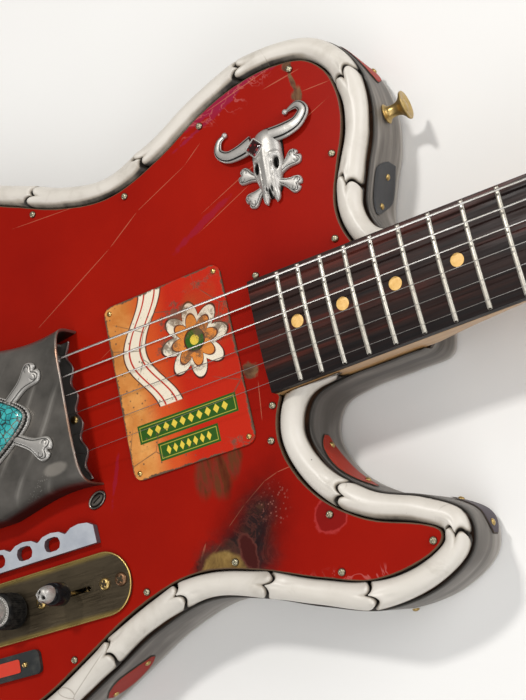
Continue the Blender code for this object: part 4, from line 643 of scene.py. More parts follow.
def bone_finish():
    """Polished bone: warm white, brown in the joints and black-brown low down where it meets its
    neighbours, which is partly stain and partly painted shade; painted shade also darkens the inner sides of
    the bones along the +Y edge."""
    f = Finish("polished_bone", (0.62, 0.58, 0.52), 0.4, 0.0, Specular_IOR_Level=0.4)
    colour = f.ramp(f.noise(22.0, 6.0, 0.6, 0.4), [(0.25, (0.44, 0.40, 0.34)), (0.45, (0.60, 0.56, 0.50)),
                                                   (0.8, (0.69, 0.65, 0.59))])
    smudge = f.step(f.noise(48.0, 5.0, 0.65, 0.8, f.stretch(1.0, 1.0, 1.0, 0.3)), 0.56, 0.74)
    colour = f.mix(smudge * 0.35, colour, (0.36, 0.32, 0.26))
    wear_and_shade = f.wear_and_shade() + f.jitter(0.5, 90.0, 5.0, 0.6)
    # Brown in the joints and stains.
    colour = f.mix(f.step(wear_and_shade, 0.22, 0.75) * 0.75, colour, (0.25, 0.205, 0.15))
    # Black-brown: stain, and painted shade low down and on the inner sides of the bones along the +Y edge.
    colour = f.mix(f.step(wear_and_shade, 0.66, 1.05), colour, (0.020, 0.015, 0.011))
    pits = f.below(f.cells(170.0), 0.03, 0.08)
    colour = f.mix(pits * f.step(f.noise(37.0), 0.6, 0.7), colour, (0.06, 0.04, 0.025))
    crack = f.cells(30.0, "DISTANCE_TO_EDGE", f.stretch(1.0, 1.0, 1.0, 0.8))
    crack = f.below(crack, 0.0, 0.012) * f.step(f.noise(19.0), 0.54, 0.64)
    colour = f.mix(crack * 0.5, colour, (0.16, 0.12, 0.08))
    f.use(Base_Color=colour, Roughness=f.ramp(wear_and_shade, [(0.2, 0.37), (0.9, 0.62)]))
    return f.bump(f.noise(60.0, 6.0, 0.6) - crack, 0.22, 0.0006).material


def tin_finish(name, dark, light, streak=(5.0, 5.0, 150.0), metal=0.85, rough=0.36):
    """Darkened tin with streaks along its length and lighter rubbed clouds."""
    f = Finish(name, dark, rough, metal)
    lines = f.noise(4.0, 8.0, 0.62, 0.8, f.stretch(*streak))
    clouds = f.noise(16.0, 5.0, 0.6)
    middle = tuple((a + b) / 2 for a, b in zip(dark, light))
    colour = f.ramp(lines * 0.6 + clouds * 0.4, [(0.34, dark), (0.5, middle), (0.66, light)])
    f.use(Base_Color=colour, Roughness=f.ramp(lines, [(0.3, rough - 0.1), (0.7, rough + 0.16)]))
    return f.bump(lines, 0.25, 0.0005).material


def metal_finish(name, colour, dark, rough=0.3, scale=60.0, metal=1.0, hollow=True, grit=0.10):
    """Cast or turned metal, darkened in its hollows and by handling."""
    f = Finish(name, colour, rough, metal)
    cloud = f.noise(scale, 6.0, 0.6)
    shade = f.mix(f.ramp(cloud, [(0.35, 0.0), (0.75, 0.55)]), colour, dark)
    if hollow:
        shade = f.mix(f.step(f.wear_and_shade(), 0.15, 0.85), shade, (0.012, 0.011, 0.010))
    f.use(Base_Color=shade, Roughness=f.ramp(cloud, [(0.3, max(rough - 0.08, 0.05)), (0.8, rough + 0.18)]))
    return f.bump(f.noise(scale * 3.0, 4.0), grit, 0.0002).material


def plate_brass():
    """Aged brass: brown-grey in the middle, brushed, and yellow where the rim is rubbed bright."""
    f = Finish("aged_brass", (0.20, 0.15, 0.09), 0.34, 0.9)
    cloud = f.noise(20.0, 6.0, 0.6)
    colour = f.ramp(cloud, [(0.3, (0.085, 0.064, 0.042)), (0.55, (0.145, 0.112, 0.07)),
                            (0.8, (0.21, 0.165, 0.1))])
    reach = abs(f.axis("Y") - PLATE_Y * MM)
    edge = f.step(reach + cloud * 0.002, 13.6 * MM, 16.6 * MM)
    colour = f.mix(edge * 0.8, colour, (0.5, 0.36, 0.1))
    scratch = f.noise(90.0, 3.0, 0.5, 0.0, f.stretch(1.0, 14.0, 1.0, 0.5))
    f.use(Base_Color=colour, Roughness=f.ramp(scratch, [(0.3, 0.26), (0.7, 0.46)]))
    return f.bump(scratch, 0.10, 0.0002).material


def wood_finish(name, dark, light, rough=0.45, along="X", grain=60.0, shine=0.0):
    """Straight-grained wood with pores, drawn out along one axis."""
    f = Finish(name, light, rough, 0.0, Coat_Weight=shine, Coat_Roughness=0.25)
    scale = {"X": (0.06, 1.0, 1.0), "Y": (1.0, 0.06, 1.0)}[along]
    rings = f.noise(grain, 6.0, 0.6, 1.2, f.stretch(*scale))
    pores = f.noise(grain * 9.0, 2.0, 0.5, 0.0, f.stretch(*scale))
    colour = f.mix(f.ramp(rings, [(0.35, 0.0), (0.65, 1.0)]), dark, light)
    colour = f.mix(f.ramp(pores, [(0.58, 0.0), (0.72, 0.7)]), colour, tuple(0.35 * c for c in dark))
    f.use(Base_Color=colour, Roughness=f.ramp(pores, [(0.4, rough), (0.7, rough + 0.2)]))
    return f.bump(pores, 0.15, 0.0003).material


def board_finish():
    """Near-black fingerboard wood with red-brown streaks along the strings."""
    f = Finish("fingerboard_wood", (0.02, 0.01, 0.008), 0.42, 0.0, Specular_IOR_Level=0.15)
    streak = f.noise(70.0, 7.0, 0.65, 0.8, f.stretch(0.05, 1.0, 1.0))
    colour = f.ramp(streak, [(0.38, (0.006, 0.004, 0.004)), (0.52, (0.020, 0.008, 0.006)),
                             (0.66, (0.085, 0.018, 0.012))])
    pores = f.noise(620.0, 2.0, 0.5, 0.0, f.stretch(0.06, 1.0, 1.0))
    f.use(Base_Color=colour, Roughness=f.ramp(pores, [(0.4, 0.34), (0.7, 0.56)]))
    return f.bump(pores, 0.2, 0.0003).material


def printed_tin():
    """Printed tin of plain colour fields: orange left, red right, pale ribbon, green bars, rubbed edges."""
    f = Finish("printed_tin", (0.5, 0.1, 0.02), 0.38, 0.0, Specular_IOR_Level=0.12)
    x = f.axis("X")
    y = f.axis("Y")
    wobble = f.jitter(0.004, 30.0)
    split = x + wobble
    red = (0.44, 0.018, 0.006)
    orange = (0.62, 0.21, 0.040)
    faded = f.mix(f.ramp(f.noise(42.0, 6.0, 0.65), [(0.38, 0.0), (0.62, 1.0)]), (0.5, 0.17, 0.035),
                  (0.66, 0.3, 0.085))
    colour = f.mix(f.step(split, 97.0 * MM, 112.0 * MM), faded, (0.54, 0.075, 0.016))
    colour = f.mix(f.step(split, 112.0 * MM, 128.0 * MM), colour, red)
    cream = (0.74, 0.66, 0.52)
    ink = (0.06, 0.012, 0.010)
    brown = (0.09, 0.02, 0.012)
    green = (0.025, 0.085, 0.012)
    yellow = (0.66, 0.50, 0.06)
    bend = f.sum("SINE", y * 95.0) * 0.008
    ribbon = abs(x + bend - 109.0 * MM)
    for reach, shade in ((7.4, brown), (6.6, cream), (3.8, red), (2.8, cream)):
        inside = f.below(ribbon, (reach - 0.25) * MM, (reach + 0.25) * MM)
        part = inside * f.step(y, -14.0 * MM, -13.4 * MM)
        colour = f.mix(part, colour, shade)
    across = x - 137.0 * MM
    up = y - 13.0 * MM
    radius = f.sum("SQRT", across * across + up * up)
    petal = abs(f.sum("COSINE", f.sum("ARCTAN2", up, across) * 4.0))
    petal = (0.62 + petal * 0.38) * MM
    share = radius / petal
    for reach, shade in ((20.5, ink), (19.3, cream), (14.2, brown), (13.2, orange)):
        colour = f.mix(f.below(share, reach - 0.3, reach + 0.3), colour, shade)
    for reach, shade in ((6.2, ink), (5.4, (0.025, 0.095, 0.012)), (2.6, yellow)):
        colour = f.mix(f.below(radius, (reach - 0.2) * MM, (reach + 0.2) * MM), colour, shade)
    for y0, y1, x0, x1 in ((-29.0, -19.5, 94.0, 153.0), (-40.5, -31.5, 104.0, 140.0)):
        for grow, shade in ((0.0, green), (-1.1, (0.34, 0.33, 0.05)), (-1.5, green)):
            low = f.step(y, (y0 - grow - 0.2) * MM, (y0 - grow) * MM)
            high = f.below(y, (y1 + grow) * MM, (y1 + grow + 0.2) * MM)
            left = f.step(x, (x0 - grow) * MM, (x0 - grow + 0.2) * MM)
            right = f.below(x, (x1 + grow) * MM, (x1 + grow + 0.2) * MM)
            colour = f.mix(low * high * left * right, colour, shade)
    for middle, x0, x1, pitch in ((-24.25, 98.5, 148.5, 5.0), (-36.0, 108.0, 136.0, 4.0)):
        phase = f.sum("FRACT", (x - x0 * MM) / (pitch * MM))
        wide = abs(phase - 0.5) * 2.4
        tall = abs(y - middle * MM) / (2.7 * MM)
        gem = f.below(wide + tall, 0.8, 0.95)
        gem = gem * (f.step(x, x0 * MM, (x0 + 0.1) * MM) * f.below(x, x1 * MM, (x1 + 0.1) * MM))
        colour = f.mix(gem, colour, yellow)
    dx = abs(x - TIN_X * MM) - TIN_HALF_LENGTH * MM
    dy = abs(y) - TIN_HALF_WIDTH * MM
    edge = f.most(dx, dy) + f.jitter(0.006, 120.0, 6.0, 0.7)
    chip = f.step(edge, -1.1 * MM, -0.3 * MM)
    worn = f.step(f.noise(55.0, 8.0, 0.75) * f.noise(13.0), 0.325, 0.38)
    speck = f.below(f.cells(260.0), 0.08, 0.2)
    speck = speck * f.step(f.noise(38.0) + x * -4.0, -0.02, 0.1)
    line = f.cells(34.0, "DISTANCE_TO_EDGE", f.stretch(1.0, 1.0, 1.0, 0.9))
    line = f.below(line, 0.0, 0.014) * f.step(f.noise(20.0), 0.48, 0.58)
    bare = f.most(chip, f.most(worn, f.most(speck, line)) * 0.8)
    colour = f.mix(bare, colour, f.mix(f.noise(200.0), (0.16, 0.10, 0.06), (0.045, 0.03, 0.022)))
    colour = f.mix(f.step(f.noise(24.0, 6.0), 0.56, 0.75) * 0.35, colour, (0.25, 0.09, 0.02))
    f.use(Base_Color=colour, Roughness=f.ramp(bare, [(0.0, 0.34), (1.0, 0.6)]))
    return f.bump(f.noise(70.0) - bare, 0.3, 0.0003).material


def plaque_finish():
    """Black plaque whose raised bar is red."""
    f = Finish("black_plaque", (0.02, 0.02, 0.022), 0.4)
    mask = f.step(f.axis("Z"), SEAT + 2.05 * MM, SEAT + 2.15 * MM)
    worn = f.noise(80.0, 6.0, 0.7)
    black = f.mix(f.ramp(worn, [(0.55, 0.0), (0.8, 0.6)]), (0.016, 0.018, 0.018), (0.09, 0.085, 0.07))
    red = f.mix(f.ramp(worn, [(0.5, 0.0), (0.8, 0.8)]), (0.55, 0.035, 0.015), (0.30, 0.10, 0.05))
    f.use(Base_Color=f.mix(mask, black, red))
    return f.bump(worn, 0.15, 0.0003).material


def turquoise_finish():
    """Turquoise broken into small cells by a dark and rust-coloured web."""
    f = Finish("turquoise", (0.03, 0.36, 0.36), 0.22, 0.0, Coat_Weight=0.6, Coat_Roughness=0.08)
    web = f.cells(330.0, "DISTANCE_TO_EDGE")
    tone = f.noise(120.0, 5.0, 0.6)
    colour = f.ramp(tone, [(0.3, (0.010, 0.17, 0.19)), (0.5, (0.03, 0.36, 0.36)), (0.7, (0.14, 0.55, 0.50))])
    line = f.below(web + f.noise(300.0) * 0.05, 0.03, 0.14)
    dark = f.mix(f.step(f.noise(60.0), 0.50, 0.60), (0.008, 0.010, 0.012), (0.20, 0.08, 0.02))
    f.use(Base_Color=f.mix(line, colour, dark))
    return f.bump(line * -1.0, 0.2, 0.0003).material


def cover_finish():
    """Dark tin with pale flowing lines etched in it and copper showing along its folds."""
    f = Finish("cover_tin", (0.12, 0.115, 0.105), 0.40, 0.8)
    cloud = f.noise(22.0, 6.0, 0.6)
    colour = f.ramp(cloud, [(0.3, (0.115, 0.107, 0.095)), (0.55, (0.22, 0.202, 0.18)),
                            (0.8, (0.37, 0.34, 0.295))])
    flow = f.waves(24.0, 6.0, 1.0, "X", f.stretch(1.0, 1.0, 1.0, 0.69), 0.45)
    patchy = f.step(f.noise(18.0), 0.40, 0.58)
    band_light = f.step(flow, 0.72, 0.98) * patchy
    line = f.step(flow, 0.965, 0.998) * patchy
    colour = f.mix(band_light * 0.38, colour, (0.42, 0.39, 0.35))
    colour = f.mix(line * 0.35, colour, (0.56, 0.53, 0.48))
    dots = f.below(f.cells(760.0), 0.2, 0.34) * f.spot(37.0, -38.5, 16.0, 2.3, 0.52, 0.4, 60.0, 0.4)
    colour = f.mix(dots * 0.45, colour, (0.5, 0.46, 0.41))
    rubbed = f.spot(53.8, -31.0, 8.2, 3.5, 0.04, 0.25, 60.0, 0.3)
    colour = f.mix(rubbed * 0.62, colour, (0.52, 0.47, 0.41))
    # Painted shade: the side walls below the top are darkened nearly to black.
    side = f.below(f.axis("Z"), SEAT + 8.0 * MM, SEAT + 17.0 * MM)
    colour = f.mix(side * 0.94, colour, (0.014, 0.012, 0.01))
    fold = f.step(f.wear_and_shade() + f.jitter(1.1, 60.0), 0.5, 1.05)
    colour = f.mix(fold * 0.7, colour, f.mix(f.step(f.noise(30.0), 0.45, 0.6), (0.34, 0.28, 0.245),
                                             (0.28, 0.145, 0.085)))
    f.use(Base_Color=colour, Roughness=f.ramp(cloud, [(0.3, 0.30), (0.8, 0.50)]))
    return f.bump(cloud + line * 0.6, 0.2, 0.0004).material


def knurled_black():
    """Black knob with a fine grip pattern and dust in it."""
    f = Finish("knob_black", (0.02, 0.02, 0.02), 0.6, 0.0, Specular_IOR_Level=0.08)
    dust = f.noise(300.0, 3.0, 0.6)
    f.use(Base_Color=f.ramp(dust, [(0.4, (0.006, 0.006, 0.006)), (0.7, (0.028, 0.026, 0.023))]))
    return f.bump(f.cells(900.0), 0.4, 0.0003).material


def string_finish(name, wound):
    """Steel string; a wound one has fine turns across it."""
    f = Finish(name, (0.62, 0.60, 0.56), 0.28, 1.0)
    tone = f.noise(40.0)
    f.use(Base_Color=f.ramp(tone, [(0.3, (0.50, 0.47, 0.42)), (0.7, (0.72, 0.70, 0.67))]))
    if wound:
        f.bump(f.waves(700.0, 0.0, 0.0, "X"), 0.5, 0.0002)
    return f.material


def floor_finish():
    """Plain pale floor."""
    f = Finish("pale_floor", (0.78, 0.77, 0.75), 0.75)
    tone = f.noise(3.0, 3.0, 0.5)
    f.use(Base_Color=f.ramp(tone, [(0.3, (0.76, 0.75, 0.73)), (0.7, (0.80, 0.79, 0.77))]))
    return f.bump(f.noise(400.0, 2.0), 0.04, 0.0003).material


# Bones along the edge

def near_tip(points):
    """One at the tip of the lower horn, falling to nought some way from it."""
    away = np.asarray(points) - np.array(HORN_TIP) * MM
    return np.exp(-(away ** 2).sum(-1) / (2 * (13 * MM) ** 2))


def bone_line():
    """The line that the bones follow: even samples of place, outward normal, distance and slimness at the
    horn."""
    slim = near_tip(SIDE)
    line = SIDE - SIDE_OUT * (BONE_INSET - HORN_SLIM * slim)[:, None]
    out = outward(line)
    for _ in range(6):
        out = (np.roll(out, 1, 0) + out + np.roll(out, -1, 0)) / 3
    line, out = (np.vstack([part, part[:1]]) for part in (line, out))
    slim = np.append(slim, slim[0])
    length = np.concatenate([[0], np.cumsum(np.linalg.norm(np.diff(line, axis=0), axis=1))])
    return line, out, length, slim


def joint_line(across, lean):
    """How far a joint stands forward of its mark at a place across the bone: two round knuckles, one
    larger."""
    side = across * lean
    large = 1.65 * np.sqrt(np.clip(1 - ((side - 0.50) / 0.52) ** 2, 0.0, 1))
    small = 0.90 * np.sqrt(np.clip(1 - ((side + 0.52) / 0.50) ** 2, 0.0, 1))
    return LOBE * (np.maximum(large, small) - 0.75)


def knuckles(across, crown, near, near_lean, far, far_lean):
    """Swellings and hollows (mm) of a bone's ends: two knuckles behind the far joint's round parts with a
    dent between them, and at the near joint a ridge beside a shallow dent, all bells in the distances along
    and across."""
    def bell(at, middle, wide):
        """One at the middle, falling off over the width."""
        return np.exp(-((at - middle) / wide) ** 2)
    far, near = far / MM, near / MM
    swell = 0.0
    hollow = 0.0
    if far_lean:
        swell = swell + 0.85 * bell(far, 1.2, 3.2) * bell(across, 0.52 * far_lean, 0.26)
        swell = swell + 0.60 * bell(far, 0.8, 2.6) * bell(across, -0.54 * far_lean, 0.24)
        hollow = hollow + 0.85 * bell(far, 2.6, 3.4) * bell(across, -0.04 * far_lean, 0.20)
    if near_lean:
        swell = swell + 0.60 * bell(near, 2.0, 3.4) * bell(across, 0.02, 0.30)
        hollow = hollow + 0.65 * bell(near, 6.0, 3.6) * bell(across, 0.42 * near_lean, 0.22)
    return swell * crown, hollow * crown


def bone(name, start, stop, near_lean, far_lean, material, cut=None):
    """One bone: rings along the line, waisted in the middle, swollen at its ends, its end rings bent into
    lobes.

    A ring point stands at distance radius·cos across and radius·sin up from the line, and its place along the
    line is blended between the two joint curves, which both depend on the distance across. The last rings of
    each end shrink on a quarter circle, so the lobe is rounded over.
    """
    line, out, length, slim = bone_line()
    along = np.concatenate([np.linspace(0, 0.1, 7)[:-1], np.linspace(0.1, 0.9, 41)[:-1],
                            np.linspace(0.9, 1, 7)])
    angles = np.linspace(0, 2 * np.pi, 96, endpoint=False)
    span = stop - start
    rows = []
    wear_and_shade = []
    for t in along:
        reach = min(t, 1 - t) * span
        edge = 1.9 * MM
        shrink = 1 - 0.30 * (1 - math.sqrt(max(0.0, 1 - (1 - min(reach, edge) / edge) ** 2)))
        knuckle = 0.35 * MM * math.exp(-(reach / (7 * MM)) ** 2) - 0.55 * MM * math.sin(math.pi * t)
        thin = HORN_SLIM * float(np.interp(start + span * t, length, slim))
        radius = (BONE_RADIUS + knuckle - 0.35 * MM - thin) * shrink
        across = np.cos(angles)
        near = start + joint_line(across, near_lean) + 0.5 * JOINT_GAP if near_lean else start + 0 * across
        far = stop + joint_line(across, far_lean) - 0.5 * JOINT_GAP if far_lean else stop + 0 * across
        at = near + (far - near) * t
        place = np.stack([np.interp(at, length, line[:, k]) for k in (0, 1)], -1)
        normal = np.stack([np.interp(at, length, out[:, k]) for k in (0, 1)], -1)
        normal /= np.linalg.norm(normal, axis=1)[:, None]
        flute = 1 + 0.012 * np.sin(3 * angles + 9 * t) * math.sin(math.pi * t)
        swell, hollow = knuckles(across, np.clip(np.sin(angles), 0, 1) ** 0.6, t * span, near_lean,
                                 (1 - t) * span, far_lean)
        flute = flute + (swell - hollow) * MM / BONE_RADIUS
        flat = place + normal * (radius * flute * across)[:, None]
        rise = BONE_LEVEL + radius * flute * np.sin(angles)
        rows.append(np.column_stack([flat, rise]))
        # Darker low down where the bone meets the panel and the band: partly stain, partly painted shade.
        low = np.clip((0.34 + 0.16 * across - np.sin(angles)) / 0.62, 0, 1) ** 1.2
        end = 0.34 * math.exp(-(reach / (3.8 * MM)) ** 1.5) + 0.72 * math.exp(-(reach / (0.6 * MM)) ** 2)
        # Painted shade: the inner sides of the bones along the +Y edge, more where their outward normal
        # points to +Y.
        shade = np.clip((-across - 0.22) / 0.5, 0, 1) ** 1.4 * np.clip(normal[:, 1], 0, 1) ** 3
        wear_and_shade.append(np.clip(low * 0.95 + end + 0.34 * hollow - 0.12 * swell + shade, 0, 1.4))
    grid = np.array(rows)
    if cut is not None:
        grid = cut(grid)
    return Shape().add(grid, value=wear_and_shade).piece(name, material, replaces=(name,), angle=75)


def bones():
    """All bones, each between two marks along the line; the first and last are held clear of the neck."""
    material = bone_finish()
    length = bone_line()[2]
    room = length[-1] - BONE_START - BONE_STOP
    shares = np.array(BONE_SHARES) * MM
    marks = BONE_START + np.concatenate([[0], np.cumsum(shares)]) / shares.sum() * room
    last = len(shares) - 1

    def clear_neck(grid):
        """Presses the points that reach into the neck pocket back to its side wall."""
        grid = grid.copy()
        x, y = grid[..., 0], grid[..., 1]
        wall = neck_half(x) + 0.6 * MM
        inside = (x > HEEL_END - 1 * MM) & (np.abs(y) < wall)
        grid[..., 1] = np.where(inside, np.sign(np.where(y == 0, 1, y)) * wall, y)
        return grid

    for i in range(len(shares)):
        near = -1 if i % 2 else 1
        far = 1 if i % 2 else -1
        bone("edge_bone_%02d" % (i + 1), marks[i], marks[i + 1], near, far, material,
             clear_neck if i in (0, last) else None)
    return marks


def panel(material):
    """Sheet top: its edge is the body's curve set in, closed round the neck, with openings under the bridge
    and the control plate; the last millimetre of the edge rolls down and is worn to bare metal, its dark
    colour there being also painted shade under the bones."""
    inset = PANEL_INSET - 3.4 * MM * near_tip(SIDE)
    line = SIDE - SIDE_OUT * inset[:, None]
    heel = HEEL_WIDTH / 2 + 0.3 * MM
    count = len(line)
    clear = [np.linalg.norm(SIDE - p, axis=1).min() > deep - 0.12 * MM for p, deep in zip(line, inset)]
    bass = [p for p, free in zip(line[42:count // 2], clear[42:]) if free and p[1] > heel]
    treble = [p for p, free in zip(line[count // 2:count - 56], clear[count // 2:]) if free and p[1] < -heel]
    edge = np.array(bass + treble)
    length = np.concatenate([[0], np.cumsum(np.linalg.norm(np.diff(edge, axis=0), axis=1))])
    even = np.linspace(0, length[-1], 900)
    edge = np.column_stack([np.interp(even, length, edge[:, k]) for k in (0, 1)])
    for step in range(22):
        share = (near_tip(edge) * 1.6).clip(0.0 if step > 4 else 1.0, 1)[1:-1, None]
        edge[1:-1] = edge[1:-1] * (1 - share) + (edge[:-2] + 2 * edge[1:-1] + edge[2:]) / 4 * share
    notch = HEEL_END - 0.3 * MM
    close = [(edge[-1][0], -heel), (notch, -heel), (notch, heel), (edge[0][0], heel)]
    outline = np.vstack([edge, close])
    levels = [(0, -1.6), (0, -.45), (.12, -.14), (.35, -.02), (.7, 0), (1.3, 0), (2.2, 0)]
    rows = pillow(outline, TOP, mm(*levels))
    value = np.array([1.3, 1.2, 1.1, .9, .55, .25, 0.0])[:, None]
    shape = Shape().add(rows, caps=False, value=value)
    cavity = stadium(PLATE_X * MM, PLATE_Y * MM, (PLATE_LENGTH - 20) * MM, 14 * MM)
    mouth = stadium(31 * MM, 0, 70 * MM, 28 * MM)
    mouth = np.column_stack([31 * MM - mouth[:, 1], mouth[:, 0] - 31 * MM])
    holes = [np.column_stack([loop, np.full(len(loop), TOP)]) for loop in (cavity, mouth)]
    return shape.fill([rows[-1]] + holes).piece("painted_panel", material, replaces=("top_panel",), angle=60)


def band(material):
    """Side band: the body's curve swept through a profile with rolled edges, lowered where the neck passes
    and opened round the jack, whose nearest points are drawn onto the hole's circle."""
    profile = [(-1.2, 35.2), (-.6, 35.47), (-.15, 35.35), (0, 34.9)]
    profile += [(0, z) for z in np.arange(33.6, 3.0, -1.2)]
    profile += [(-.05, 2.4), (-.3, 1.6), (-.8, 1.1), (-1.2, 1.05), (-1.2, 6.0)]
    rows = []
    for inset, level in profile:
        flat = SIDE + SIDE_OUT * inset * MM
        heel = neck_half(flat[:, 0]) + .4 * MM
        top = np.where((flat[:, 0] > HEEL_END) & (np.abs(flat[:, 1]) < heel), 28.6 * MM, 1.0)
        rows.append(np.column_stack([flat, np.minimum(level * MM, top)]))
    grid = np.array(rows)
    jack = np.array([JACK_X, JACK_LEVEL]) * MM
    away = grid[..., [0, 2]] - jack
    reach = np.linalg.norm(away, axis=2)
    near = (grid[..., 1] < -150 * MM) & (reach < (JACK_HOLE + 1.15) * MM)
    ring = near & (reach > (JACK_HOLE - 1.05) * MM)
    radius = JACK_HOLE * MM
    for k, axis in enumerate((0, 2)):
        grid[..., axis] = np.where(ring, jack[k] + away[..., k] * radius / np.maximum(reach, 1e-09),
                                   grid[..., axis])
    shape = Shape().add(grid[:, ::-1], caps=False)
    inner = (near & ~ring)[:, ::-1].reshape(-1)
    keep = []
    for face in shape.faces:
        middle = np.mean([shape.points[0][k] for k in face], axis=0)
        gap = math.hypot(middle[0] - jack[0], middle[2] - jack[1])
        close = gap < (JACK_HOLE - .25) * MM and middle[1] < -150 * MM
        if not close and not any(inner[k] for k in face):
            keep.append(face)
    shape.faces = keep
    return shape.piece("side_band_sheet", material, replaces=("side_band",), angle=50)


# Silver, brass and chrome pieces

def bone_relief(shape, start, stop, shaft, knuckle, height, base):
    """Half-round bone on a flat base, from its plain start to its two-lobed stop (mm).

    Its half width is the shaft's, plus a bell that swells it near the stop; across it the rise is a half
    ellipse; near the stop it falls on a quarter circle, and a bell dents the middle of the stop inwards. A
    line is engraved at an even distance from the edge, and a hook round each lobe.
    """
    start, stop = np.array(start, float), np.array(stop, float)
    reach = np.linalg.norm(stop - start)
    lead = (stop - start) / reach
    side = np.array([-lead[1], lead[0]])
    total = reach + .62 * knuckle
    across = np.sin(np.linspace(-math.pi / 2, math.pi / 2, 41))
    rows = []
    wear_and_shade = []
    marks = np.concatenate([np.linspace(0, total - 2.6 * knuckle, 8)[:-1],
                            total - 2.6 * knuckle * (1 - np.sin(np.linspace(0, math.pi / 2, 40)))])
    for mark in marks:
        left = total - mark
        swell = math.exp(-((left - .62 * knuckle) / (.95 * knuckle)) ** 2)
        close = math.sqrt(max(0.0, 1 - (1 - min(left, .62 * knuckle) / (.62 * knuckle)) ** 2))
        half = (shaft + (knuckle - shaft) * swell) * (.45 + .55 * close if left < .62 * knuckle else 1)
        dent = .34 * knuckle * np.exp(-(across / .30) ** 2) * math.exp(-left / (.8 * knuckle))
        u = across * half
        edge = np.minimum(half * (1 - np.abs(across)) * 1.1, left * .9)
        rise = height * np.sqrt(np.clip(1 - across ** 2, 0, 1)) ** .7 * close ** .8
        line = np.exp(-((edge - .24 * knuckle) / (.055 * knuckle)) ** 2)
        away = np.hypot(left - .70 * knuckle, np.abs(u) - .46 * knuckle)
        hook = np.exp(-((away - .22 * knuckle) / (.055 * knuckle)) ** 2) * (np.abs(u) > .34 * knuckle)
        cut = np.maximum(line, .9 * hook)
        flat = start + lead * (mark - dent)[:, None] + side * u[:, None]
        rows.append(np.column_stack([flat * MM, base + np.maximum(rise - .13 * height * cut, 0) * MM]))
        wear_and_shade.append(.85 * cut + .5 * np.clip(.5 - rise / height, 0, .5))
    shape.add(rows, wrap_columns=False, caps=False, value=wear_and_shade)


